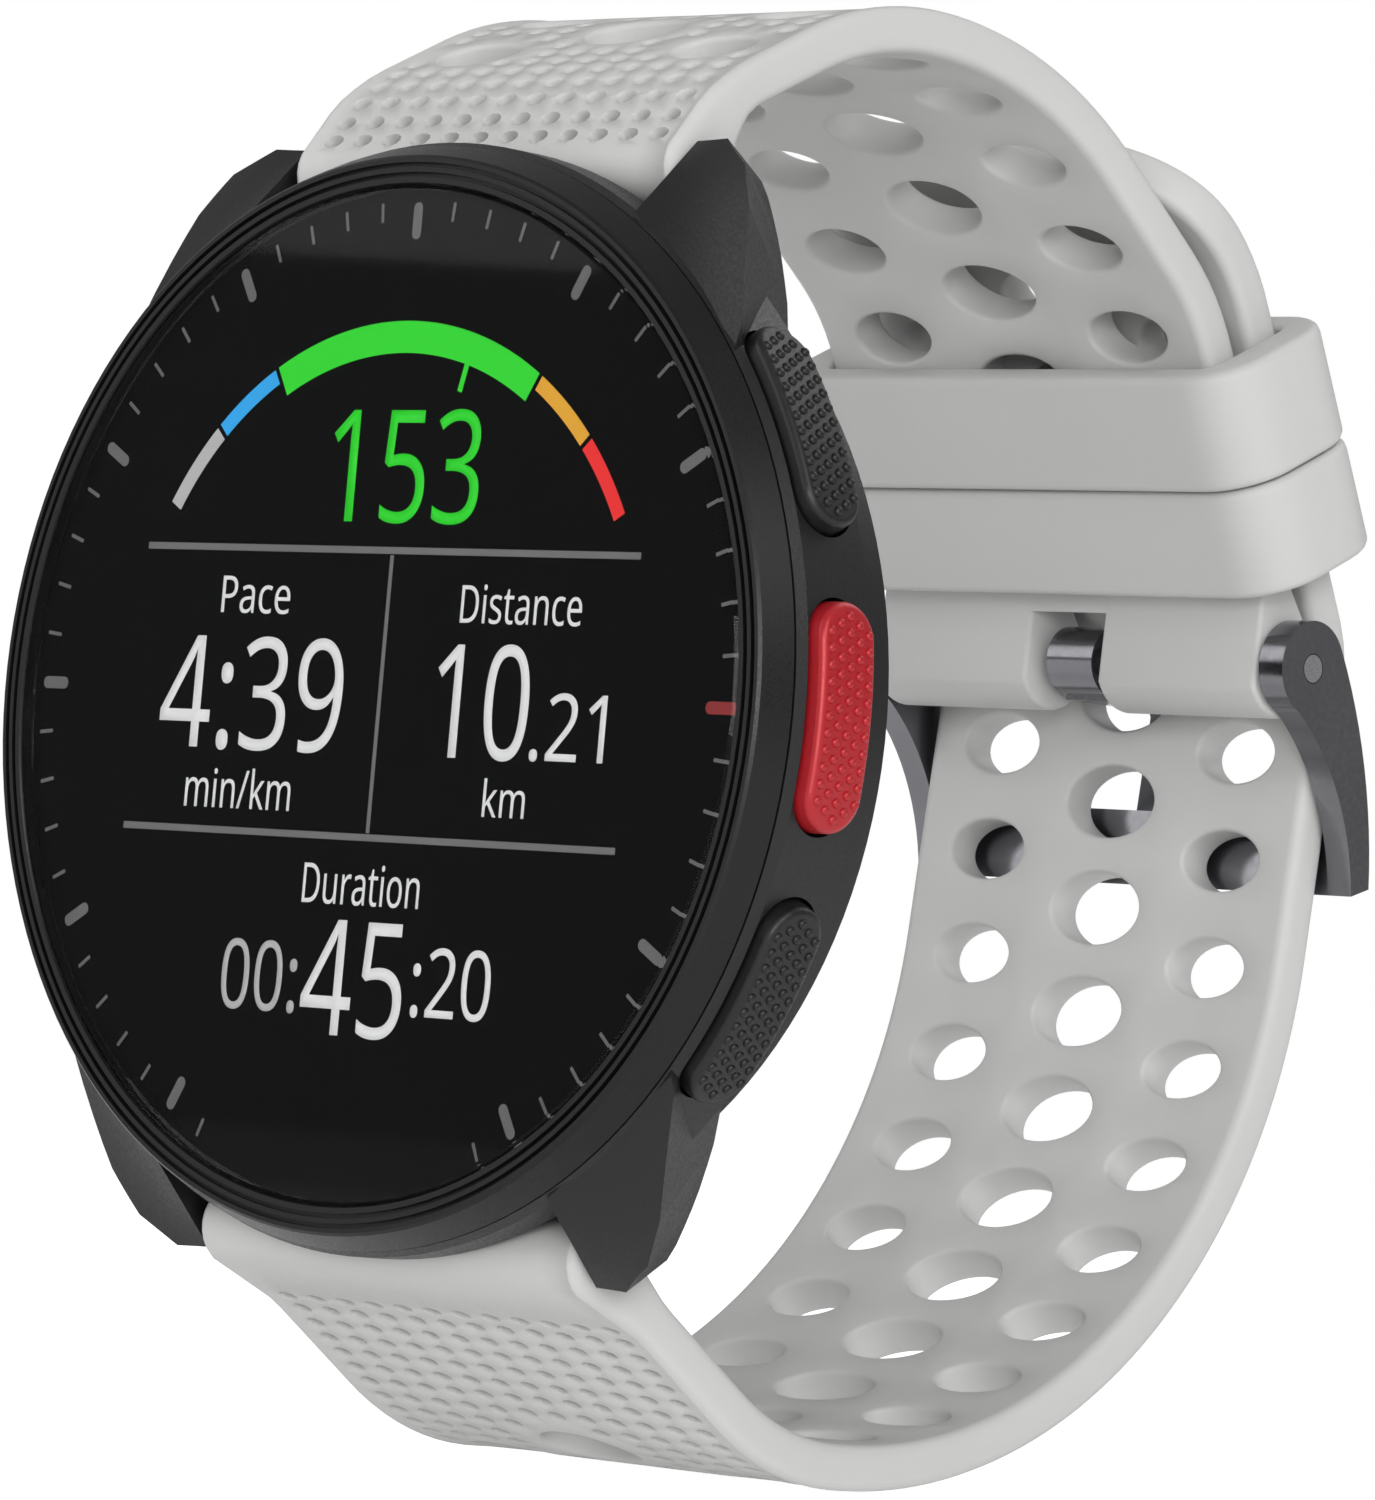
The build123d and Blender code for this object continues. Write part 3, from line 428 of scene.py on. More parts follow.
@dataclass(frozen=True)
class Run:
    """The straight run past the buckle: leaned from the vertical about the buckle pin."""

    pin_depth: float = 43.6
    pin_height: float = 5.7
    lean: float = 27.0
    wall_lean: float = 5.0
    wall_offset: float = 3.4

    @property
    def up(self) -> np.ndarray:
        """Depth and height of a unit step up the run."""
        return np.array([-sin(radians(self.lean)), cos(radians(self.lean))])

    @property
    def out(self) -> np.ndarray:
        """Depth and height of a unit step out of the wrist."""
        return np.array([cos(radians(self.lean)), sin(radians(self.lean))])

    @property
    def pin(self) -> np.ndarray:
        """The buckle pin's depth and height."""
        return np.array([self.pin_depth, self.pin_height])

    def at(self, u: np.ndarray | float, n: np.ndarray | float) -> np.ndarray:
        """The point u up the run from the pin and n out of it."""
        return self.pin + np.multiply.outer(u, self.up) + np.multiply.outer(n, self.out)

    def wall(self, v: float, n: float = 0.0) -> np.ndarray:
        """The point v up the far wall from beside the pin and n out of it."""
        angle = radians(self.wall_lean)
        along = np.array([sin(angle), cos(angle)])
        across = np.array([cos(angle), -sin(angle)])
        return self.pin + along * v + across * (self.wall_offset + n)


RUN = Run()


def meeting(a: np.ndarray, da: np.ndarray, b: np.ndarray, db: np.ndarray) -> float:
    """How far along the line from a the line from b crosses it, by plane cross products."""
    gap = b - a
    return float((gap[0] * db[1] - gap[1] * db[0]) / (da[0] * db[1] - da[1] * db[0]))


class Centreline:
    """Straight stretches joined by tangent arcs, read by length."""

    def __init__(self, corners: Sequence[np.ndarray], radii: Sequence[float]) -> None:
        """Works out each stretch and arc.

        Args:
            corners: depth and height of each corner.
            radii: the arc's radius at each inner corner.
        """
        points = [np.asarray(c, float) for c in corners]
        steps = [b - a for a, b in zip(points, points[1:])]
        lengths = [float(np.linalg.norm(s)) for s in steps]
        ways = [s / n for s, n in zip(steps, lengths)]
        turns = [float(np.arctan2(a[0] * b[1] - a[1] * b[0], a @ b)) for a, b in zip(ways, ways[1:])]
        cuts = [0.0] + [r * abs(np.tan(t / 2)) for r, t in zip(radii, turns)] + [0.0]
        self.parts: list[tuple[float, float, np.ndarray, np.ndarray, float]] = []
        self.length = 0.0
        for i, way in enumerate(ways):
            straight = lengths[i] - cuts[i] - cuts[i + 1]
            self._append(straight, points[i] + way * cuts[i], way, 0.0)
            if i < len(turns):
                curve = np.sign(turns[i]) / radii[i]
                self._append(abs(turns[i]) * radii[i], points[i + 1] - way * cuts[i + 1], way, curve)

    def _append(self, length: float, start: np.ndarray, way: np.ndarray, curve: float) -> None:
        """Adds a stretch of that length from start, heading that way, with that signed curvature."""
        self.parts.append((self.length, length, start, way, curve))
        self.length += length

    def read(self, lengths: np.ndarray) -> tuple[np.ndarray, np.ndarray]:
        """Places and unit tangents at those lengths.

        On a stretch of curvature k the heading turns by k times the distance t, and the place
        moves by sin(kt)/k ahead and (1 - cos(kt))/k to the left.

        Args:
            lengths: distances along the line; past its ends it goes on straight.

        Returns:
            Points and unit tangents, two numbers each.
        """
        lengths = np.asarray(lengths, float)
        place = np.zeros(lengths.shape + (2,))
        tangent = np.zeros(lengths.shape + (2,))
        for index, (first, length, start, way, curve) in enumerate(self.parts):
            here = lengths >= first if index else np.ones(lengths.shape, bool)
            t = (lengths - first)[here]
            left = np.array([-way[1], way[0]])
            if curve:
                turn = curve * t
                ahead, side = np.sin(turn) / curve, (1 - np.cos(turn)) / curve
            else:
                turn, ahead, side = 0 * t, t, 0 * t
            place[here] = start + ahead[:, None] * way + side[:, None] * left
            tangent[here] = np.cos(turn)[:, None] * way + np.sin(turn)[:, None] * left
        return place, tangent


@dataclass(frozen=True)
class Route:
    """Where the strap goes: depths and heights of its corners, and the radii of the bends."""

    bar: tuple[float, float] = (5.4, 21.8)
    rise: tuple[float, float] = (7.0, 25.0)
    crown_start: float = 15.0
    crown_end: float = 25.5
    crown: float = 29.25
    sole_start: float = 16.7
    sole: float = -29.4
    run_length: float = 16.3
    tail_free: float = 7.6
    # how far outside the pin the upper half's middle and the tail's middle run
    upper_offset: float = 0.65
    tail_offset: float = 3.5
    upper_radii: tuple[float, ...] = (5.0, 15.0, 19.5, 10.0)
    lower_radii: tuple[float, ...] = (12.0, 25.0, 5.0, 9.0)

    def lines(self) -> tuple[Centreline, Centreline]:
        """The centrelines of the two halves: the lower one's tail keeps beside the upper one.

        Returns:
            The upper half's line and the lower half's.
        """
        crown_end = np.array([self.crown_end, self.crown])
        run_top = RUN.at(self.run_length, self.upper_offset)
        run_foot = RUN.at(0, self.upper_offset)
        upper = [self.bar, self.rise, (self.crown_start, self.crown), crown_end, run_top, run_foot]
        back = (crown_end - run_top) / np.linalg.norm(crown_end - run_top)
        turn = (1 - RUN.up @ back) / abs(RUN.up[0] * back[1] - RUN.up[1] * back[0])
        tail_bend = self.run_length + (self.tail_offset - self.upper_offset) * turn
        bend = RUN.at(tail_bend, self.tail_offset)
        wall_way = RUN.wall(1) - RUN.wall(0)
        foot = meeting(RUN.wall(0), wall_way, np.array([0.0, self.sole]), np.array([1.0, 0.0]))
        corner = meeting(RUN.at(0, self.tail_offset), RUN.up, RUN.wall(0), wall_way)
        lower = [
            (self.bar[0], -self.bar[1]),
            (self.sole_start, self.sole),
            RUN.wall(foot),
            RUN.at(corner, self.tail_offset),
            bend,
            bend + back * self.tail_free,
        ]
        return Centreline(upper, self.upper_radii), Centreline(lower, self.lower_radii)


# ---------------- the perforated strap


@dataclass(frozen=True)
class Hole:
    """An oval hole through the strap, in flat measure: middle, and half sizes across and along."""

    x: float
    s: float
    across: float
    along: float

    def loop(self, grow: float, steps: int) -> np.ndarray:
        """The oval's outline, grown outwards, as points across and along the strap."""
        angle = np.arange(steps) * 2 * pi / steps
        size = np.array([self.across, self.along]) + grow
        return size * np.stack([np.cos(angle), np.sin(angle)], axis=-1) + [self.x, self.s]


@dataclass
class Strap:
    """One half of the strap: dimpled outside, smooth inside, with bevelled oval holes through it.

    It is worked out flat, as a distance across, a length along and a height off the middle, and
    then laid along its centreline.
    """

    name: str
    line: Centreline
    outward: int
    centre_holes: np.ndarray
    side_holes: np.ndarray
    dimples_from: float
    dimples_to: float
    tip_round: float
    end_at: float
    half_width: float = 11.0
    half_thickness: float = 0.95
    end_radius: float = 1.7
    end_length: float = 4.0
    tip_power: float = 2.4
    centre_hole: tuple[float, float] = (2.49, 1.59)
    side_hole: tuple[float, float] = (2.12, 1.32)
    side_offset: float = 6.8
    hole_steps: int = 40
    hole_bevel: float = 0.2
    # the bevel's profile: share of its width, and depth under the face
    bevel_profile: tuple[tuple[float, float], ...] = ((1, 0), (0.5, 0.04), (0.15, 0.12), (0, 0.25))
    dimple: tuple[float, float] = (0.5, 0.31)
    dimple_steps: int = 10
    dimple_depth: float = 0.85
    # the dimple's profile: growth of its oval, and share of its depth
    dimple_profile: tuple[tuple[float, float], ...] = ((0.05, 0), (-0.01, 0.1), (-0.04, 0.5), (-0.08, 1))
    dimple_pitch: tuple[float, float] = (1.7, 1.02)
    dimple_columns: int = 12
    dimple_gap: float = 0.22
    dimple_margin: float = 1.3
    step: float = 0.75
    # the edge's roll: how far in from the edge, and the height there outside and inside
    edge_in: tuple[float, ...] = (0.0, 0.07, 0.2, 0.42, 0.55, 0.66)
    edge_height: tuple[float, ...] = (0.52, 0.72, 0.87, 0.95, 0.95, 0.88)
    inner_height: tuple[float, ...] = (0.52, 0.72, 0.87, 0.95, 0.95, 0.95)
    band: tuple[float, ...] = (0.52, 0.17, -0.17, -0.52)
    end_steps: int = 15
    # points inside the inner face: their half span and pitches, and their distance from edges
    inner_span: float = 9.0
    inner_pitch: tuple[float, float] = (1.8, 0.9)
    inner_gap: float = 0.7
    inner_margin: float = 1.2
    inner_inset: float = 0.8
    inner_reach: float = 9.6
    tip_steps: int = 25
    swing_steps: int = 12

    @property
    def holes(self) -> list[Hole]:
        """Every hole through this half."""
        middle = [Hole(0.0, s, *self.centre_hole) for s in self.centre_holes]
        offsets = (-self.side_offset, self.side_offset)
        return middle + [Hole(x, s, *self.side_hole) for s in self.side_holes for x in offsets]

    @property
    def straight_end(self) -> float:
        """Where the straight sides end and the tip's round begins."""
        return self.end_at - self.tip_round

    def outline(self) -> tuple[np.ndarray, np.ndarray]:
        """The flat edge from the left of the bar end, round the tip, to the right of the bar end.

        The tip is a superellipse, so that it leaves the straight sides smoothly.

        Returns:
            Edge points and inward unit normals, as numbers across and along.
        """
        count = int(round(self.straight_end / self.step))
        along = np.linspace(0, self.straight_end, count + 1)
        sides = np.stack([np.full_like(along, self.half_width), along], axis=-1)
        if self.tip_round:
            angle = np.linspace(0, pi / 2, self.tip_steps + 1)[1:]
            power = 2 / self.tip_power
            rise = self.straight_end + self.tip_round * np.sin(angle) ** power
            tip = np.stack([self.half_width * np.cos(angle) ** power, rise], axis=-1)
            tip[-1, 0] = 0.0
            sides = np.concatenate([sides, tip])
        mirrored = sides[::-1] * [-1, 1]
        edge = np.concatenate([sides, mirrored[1:] if self.tip_round else mirrored])[::-1]
        way = np.gradient(edge, axis=0)
        way[0], way[-1] = [0, 1], [0, -1]
        if not self.tip_round:
            half = len(sides)
            way[:half], way[half:] = [0, 1], [0, -1]
        way /= np.linalg.norm(way, axis=1, keepdims=True)
        return edge, np.stack([way[:, 1], -way[:, 0]], axis=-1)

    def to_space(self, flat: np.ndarray) -> np.ndarray:
        """Lays flat points (across, along, height) along the centreline, thickened at the bar end.

        Towards the bar the height grows in proportion, from 1 at end_length to the end's
        radius over the half thickness at the bar.

        Args:
            flat: an array of across, along and height.

        Returns:
            Points in the row frame, in mm.
        """
        place, tangent = self.line.read(flat[..., 1])
        normal = self.outward * np.stack([-tangent[..., 1], tangent[..., 0]], axis=-1)
        share = np.clip(1 - flat[..., 1] / self.end_length, 0, 1)
        grow = 1 + (self.end_radius / self.half_thickness - 1) * share
        place = place + normal * (flat[..., 2] * grow)[..., None]
        return np.stack([flat[..., 0], place[..., 0] - WRIST_DEPTH, place[..., 1]], axis=-1)

    def dimples(self) -> np.ndarray:
        """Middles of the blind dimples: a square lattice that leaves room round each hole."""
        across, along = self.dimple_pitch
        columns = (np.arange(self.dimple_columns) - (self.dimple_columns - 1) / 2) * across
        rows = np.arange(self.dimples_from, self.dimples_to, along)
        spots = np.stack(np.meshgrid(columns, rows), axis=-1).reshape(-1, 2)
        reach = np.array(self.dimple) + self.hole_bevel + self.dimple_gap
        keep = self.clear(spots, reach)
        if self.tip_round:
            share, sag = self.tip_share(spots, self.half_width - self.dimple_margin, self.dimple_margin)
            keep &= (sag == 0) | (share < 0.98)
        return spots[keep]

    def clear(self, spots: np.ndarray, reach: np.ndarray | float) -> np.ndarray:
        """Which spots lie outside every hole's oval grown by reach."""
        keep = np.ones(len(spots), bool)
        for hole in self.holes:
            gap = (spots - [hole.x, hole.s]) / (np.array([hole.across, hole.along]) + reach)
            keep &= (gap**2).sum(axis=1) > 1
        return keep

    def tip_share(self, spots: np.ndarray, reach: float, margin: float) -> tuple[np.ndarray, np.ndarray]:
        """How far out each spot lies in a superellipse inside the tip, where 1 is on it.

        Args:
            spots: points across and along.
            reach: the superellipse's half width.
            margin: how far it stays inside the tip's end.

        Returns:
            The share, and the part of it along the strap.
        """
        sag = np.clip((spots[:, 1] - self.straight_end) / (self.tip_round - margin), 0, None)
        return (np.abs(spots[:, 0]) / reach) ** self.tip_power + sag**self.tip_power, sag

    def face(
        self, boundary: np.ndarray, ovals: list[np.ndarray], extra: np.ndarray
    ) -> tuple[np.ndarray, np.ndarray]:
        """Triangles of a flat face with ovals left out of it.

        Args:
            boundary: its closed outline.
            ovals: the loops to leave open.
            extra: further points inside it.

        Returns:
            Points and triangles.
        """
        loops = [boundary, *ovals]
        points = np.concatenate([*loops, extra])
        edges: list[tuple[int, int]] = []
        for loop in loops:
            first, last = len(edges), len(edges) + len(loop)
            edges += [(i, i + 1) for i in range(first, last - 1)] + [(last - 1, first)]
        cut = delaunay_2d_cdt([Vector(p) for p in points], edges, [], 1, CUT_TOLERANCE)
        flat = np.array([tuple(v) for v in cut[0]])
        triangles = np.array(cut[2])
        middle = flat[triangles].mean(axis=1)
        keep = np.ones(len(triangles), bool)
        for oval in ovals:
            centre = oval.mean(axis=0)
            reach = np.abs(oval - centre).max(axis=0)
            keep &= (((middle - centre) / reach) ** 2).sum(axis=1) > 1
        return flat, triangles[keep]

    def build(self, replaces: str) -> bpy.types.Object:
        """Makes the piece.

        Args:
            replaces: the CAD node that it stands for.

        Returns:
            The object.
        """
        work = Patchwork()
        edge, inward = self.outline()
        rings = [edge + inward * d for d in self.edge_in]
        top, under = self.edge_height[-1], -self.half_thickness
        for side, heights in ((1, self.edge_height), (-1, self.inner_height)):
            work.add_grid(self.lay([(ring, side * h) for ring, h in zip(rings, heights)]))
        work.add_grid(self.lay([(edge, h) for h in self.band]))

        half = len(edge) // 2
        field_edge, far_end = rings[-1], np.zeros((0, 2))
        if not self.tip_round:
            across = np.linspace(field_edge[half - 1, 0], field_edge[half, 0], self.end_steps)[1:-1]
            far_end = np.column_stack([across, np.full(len(across), self.end_at)])
            field_edge = np.concatenate([field_edge[:half], far_end, field_edge[half:]])
        ends = np.linspace(rings[-1][-1, 0], rings[-1][0, 0], self.end_steps)[1:-1]
        boundary = np.concatenate([field_edge, np.column_stack([ends, np.zeros(len(ends))])])

        spots = self.dimples()
        rims = [spot + self._dimple_ring(0) for spot in spots]
        bores = [hole.loop(self.hole_bevel, self.hole_steps) for hole in self.holes]
        faces = ((bores + rims, np.zeros((0, 2)), top), (bores, self._inner(), under))
        for ovals, extra, height in faces:
            flat, triangles = self.face(boundary, ovals, extra)
            work.add(self.lay([(flat, height)]), triangles)
        self._dimple_bowls(work, spots, top)
        self._hole_walls(work, top, under)
        self._bar_end(work, boundary, rings)
        if not self.tip_round:
            ring = np.array([r[half - 1] for r in rings] + list(far_end) + [r[half] for r in rings[::-1]])
            tops, lows = self._end_heights(len(far_end))
            loop = [np.column_stack([ring, tops]), np.column_stack([ring, -lows])[::-1]]
            work.add_cap(self.to_space(np.concatenate(loop)))
        return make_piece(
            self.name,
            work.all_points(),
            work.faces,
            STRAP_SILICONE,
            Body.WATCH,
            replaces,
            smooth_degrees=60,
        )

    def lay(self, loops: list[tuple[np.ndarray, float]]) -> np.ndarray:
        """Lays flat loops, each at its height, as the rows of one grid."""
        rows = [np.column_stack([flat, np.full(len(flat), h)]) for flat, h in loops]
        return self.to_space(np.stack(rows))

    def _inner(self) -> np.ndarray:
        """A lattice of points inside the inner face, clear of its holes and its tip."""
        across, along = self.inner_pitch
        columns = np.arange(-self.inner_span, self.inner_span + 0.1, across)
        rows = np.arange(self.inner_inset, self.end_at - self.inner_inset, along)
        spots = np.stack(np.meshgrid(columns, rows), axis=-1).reshape(-1, 2)
        keep = self.clear(spots, self.inner_gap)
        if self.tip_round:
            keep &= self.tip_share(spots, self.inner_reach, self.inner_margin)[0] < 0.95
        return spots[keep]

    def _end_heights(self, count: int) -> tuple[np.ndarray, np.ndarray]:
        """Heights across an end, outside and inside, with that many points between the rolled edges."""
        tops = [*self.edge_height, *[self.edge_height[-1]] * count, *self.edge_height[::-1]]
        lows = [*self.inner_height, *[self.half_thickness] * count, *self.inner_height[::-1]]
        return np.array(tops), np.array(lows)

    def _dimple_ring(self, level: int) -> np.ndarray:
        """The dimple's oval at one level of its profile."""
        return Hole(0, 0, *self.dimple).loop(self.dimple_profile[level][0], self.dimple_steps)

    def _dimple_bowls(self, work: Patchwork, spots: np.ndarray, top: float) -> None:
        """Adds each dimple as rings that sink from its rim to a small flat floor."""
        steps, levels = self.dimple_steps, len(self.dimple_profile)
        rings = [
            np.column_stack([self._dimple_ring(level), np.full(steps, top - sink * self.dimple_depth)])
            for level, (_, sink) in enumerate(self.dimple_profile)
        ]
        shift = np.column_stack([spots, np.zeros(len(spots))])
        bowls = np.stack(rings)[None] + shift[:, None, None, :]
        count = levels * steps
        bowl = [*grid_faces(levels, steps, wrap=True).tolist(), list(range(count - steps, count))]
        firsts = range(0, len(spots) * count, count)
        faces = [[i + first for i in face] for first in firsts for face in bowl]
        work.add(self.to_space(bowls.reshape(-1, 3)), faces)

    def _hole_walls(self, work: Patchwork, top: float, under: float) -> None:
        """Adds each hole's wall: a rounded bevel, a straight bore and the bevel on the other face."""
        upper = [(self.hole_bevel * share, top - depth) for share, depth in self.bevel_profile]
        lower = [(self.hole_bevel * share, under + depth) for share, depth in self.bevel_profile[::-1]]
        for hole in self.holes:
            rows = [(hole.loop(grow, self.hole_steps), h) for grow, h in [*upper, (0.0, 0.0), *lower]]
            work.add_grid(self.lay(rows), wrap=True)

    def _bar_end(self, work: Patchwork, boundary: np.ndarray, rings: list[np.ndarray]) -> None:
        """Closes the bar end: each point of the end edge swings half a turn about the bar."""
        ends = boundary[boundary[:, 1] < 1e-6]
        ends = ends[np.argsort(ends[:, 0])]
        left = [r[0] for r in rings]
        right = [r[-1] for r in rings[::-1]]
        if left[0][0] > right[-1][0]:
            left, right = right[::-1], left[::-1]
        inner = ends[1:-1]
        xs = np.concatenate([[p[0] for p in left], inner[:, 0], [p[0] for p in right]])
        tops, lows = self._end_heights(len(inner))
        place, tangent = self.line.read(np.array([0.0]))
        normal = self.outward * np.array([-tangent[0, 1], tangent[0, 0]])
        scale = self.end_radius / self.half_thickness
        angle = np.linspace(0, pi, self.swing_steps + 1)[:, None]
        radius = scale * (tops + (lows - tops) * angle / pi)
        up, back = np.cos(angle) * radius, np.sin(angle) * radius
        spot = place[0] + up[..., None] * normal - back[..., None] * tangent[0]
        across = np.broadcast_to(xs, radius.shape)
        grid = np.stack([across, spot[..., 0] - WRIST_DEPTH, spot[..., 1]], axis=-1)
        work.add_grid(grid)
        for column in (0, -1):
            wall = self.to_space(np.array([[xs[column], 0.0, h] for h in self.band[::-1]]))
            work.add_cap(np.concatenate([grid[:, column], wall[1:-1]]))


@dataclass(frozen=True)
class StrapPair:
    """Both halves of the strap, with their holes spaced along them."""

    first_upper: float = 9.0
    last_upper: float = 7.6
    upper_pitch: float = 5.1
    first_lower: float = 11.5
    last_lower: float = 6.0
    lower_pitch: float = 4.75
    tongue_height: float = 4.4
    buckle_room: float = 4.2
    # the dimples' first rows, and how far past the strap's end or short of it they stop
    upper_dimples: tuple[float, float] = (0.7, 0.2)
    lower_dimples: tuple[float, float] = (3.4, -1.2)
    tail_round: float = 6.0

    def build(self) -> None:
        """Makes both halves: the lower one's holes are counted from the one that the tongue is in."""
        upper, lower = Route().lines()
        count = int((upper.length - self.first_upper - self.last_upper) / self.upper_pitch) + 1
        holes = upper.length - self.last_upper - self.upper_pitch * np.arange(count)
        sides = holes - self.upper_pitch / 2
        end = upper.length - self.buckle_room
        start, past = self.upper_dimples
        strap = Strap("strap_upper_half", upper, 1, holes[1:], sides, start, end + past, 0.0, end)
        strap.build("upper_strap")

        shares = np.linspace(0.35, 1, 4001) * lower.length
        tongue = float(np.interp(self.tongue_height, lower.read(shares)[0][:, 1], shares))
        before = int((tongue - self.first_lower) / self.lower_pitch)
        after = int((lower.length - self.last_lower - tongue) / self.lower_pitch)
        holes = tongue + self.lower_pitch * np.arange(-before, after + 1)
        sides = holes[:-1] + self.lower_pitch / 2
        end = lower.length
        start, past = self.lower_dimples
        tail = self.tail_round
        strap = Strap("strap_lower_half", lower, -1, holes, sides, start, end + past, tail, end)
        strap.build("lower_strap")


def run_points(x: np.ndarray, u: np.ndarray, n: np.ndarray) -> np.ndarray:
    """Points of the row frame from x, the distance up the run and the distance out of it."""
    depth = RUN.pin_depth + u * RUN.up[0] + n * RUN.out[0]
    height = RUN.pin_height + u * RUN.up[1] + n * RUN.out[1]
    return np.stack(np.broadcast_arrays(x, depth - WRIST_DEPTH, height), axis=-1)


def prism(work: Patchwork, outline: np.ndarray, stations: Sequence[tuple[float, float]]) -> None:
    """Adds a closed bar: an outline carried along stations, drawn in at its ends to round them.

    Args:
        work: where it is added.
        outline: a closed anticlockwise loop, two numbers a point.
        stations: each place along the bar and how far the outline is drawn in there.
    """
    way = np.roll(outline, -1, axis=0) - np.roll(outline, 1, axis=0)
    way /= np.linalg.norm(way, axis=1, keepdims=True)
    inward = np.stack([-way[:, 1], way[:, 0]], axis=-1)
    rows = [run_points(np.full(len(outline), x), *(outline + inward * draw).T) for x, draw in stations]
    work.add_grid(np.stack(rows), wrap=True)
    work.add_cap(rows[0])
    work.add_cap(rows[-1])


def rounded_stations(start: float, end: float, radius: float) -> list[tuple[float, float]]:
    """Stations of a bar whose ends are rounded over that radius, in quarter-circle steps."""
    turn = np.linspace(0, pi / 2, 4)
    draw = radius * (1 - np.sin(turn))
    back = radius * (1 - np.cos(turn))
    near = [(start + b, d) for b, d in zip(back, draw)]
    far = [(end - b, d) for b, d in zip(back[::-1], draw[::-1])]
    return near + far


@dataclass(frozen=True)
class BuckleEnd:
    """The upper half's end: two round lobes that hold the buckle pin, and the web behind the notch."""

    radius: float = 2.2
    notch: float = 2.1
    half_width: float = 11.0
    roll: float = 0.22
    web_lap: float = 0.3
    # distances up the run and out of it where the outline leaves the strap's faces
    strap_side: tuple[tuple[float, float], ...] = ((4.6, -0.28), (4.6, 1.58), (3.4, 1.6))
    web_side: tuple[tuple[float, float], ...] = ((2.6, 1.74), (2.6, -0.74))
    lobe_foot: tuple[float, float] = (3.4, -0.3)

    def build(self) -> None:
        """Makes the piece: each lobe's outline goes straight to a round about the pin."""
        turn = np.linspace(pi / 2, 3 * pi / 2, 25)
        round_end = self.radius * np.stack([np.cos(turn), np.sin(turn)], axis=-1)
        lobe = np.array([*self.strap_side, *round_end, self.lobe_foot])
        web = np.array([*self.strap_side, *self.web_side, self.lobe_foot])
        work = Patchwork()
        for start, end in ((-self.half_width, -self.notch), (self.notch, self.half_width)):
            prism(work, lobe, rounded_stations(start, end, self.roll))
        reach = self.notch + self.web_lap
        prism(work, web, [(-reach, 0.0), (reach, 0.0)])
        make_piece(
            "strap_upper_buckle_end", work.all_points(), work.faces, STRAP_SILICONE, Body.WATCH
        )


@dataclass
class Keeper:
    """A loop that holds the tail: a rounded rectangular ring, its four rims rolled over."""

    name: str
    node: str
    body: Body
    start: float
    length: float
    low: float
    high: float = 4.75
    half_width: float = 11.3
    wall: float = 1.45
    side_wall: float = 2.0
    corner: float = 2.8
    inner_corner: float = 0.9
    roll: float = 0.4
    inner_roll: float = 0.24

    def build(self) -> None:
        """Makes the piece: round the ring, a section that goes out, along, in and back."""
        middle = (self.low + self.high) / 2
        half = (self.high - self.low) / 2
        quarter = np.linspace(0, pi / 2, 5)
        rows = []
        for edge, way in ((self.start, 1), (self.start + self.length, -1)):
            outer, inner = (
                [(edge + way * roll * (1 - cos(a)), roll * (1 - sin(a)), roll == self.roll) for a in quarter]
                for roll in (self.roll, self.inner_roll)
            )
            for u, draw, is_outer in inner[::-1] + outer if way > 0 else outer[::-1] + inner:
                across, up, corner = self.half_width + draw, half + draw, self.inner_corner + draw
                if is_outer:
                    across = self.half_width + self.side_wall - draw
                    up, corner = half + self.wall - draw, self.corner - draw
                loop = rounded_loop(across, up, corner)
                rows.append(run_points(loop[:, 0], np.full(len(loop), u), loop[:, 1] + middle))
        work = Patchwork()
        work.add_grid(np.stack([*rows, rows[0]]), wrap=True)
        make_piece(
            self.name, work.all_points(), work.faces, STRAP_SILICONE, self.body, self.node
        )


# ---------------- buttons


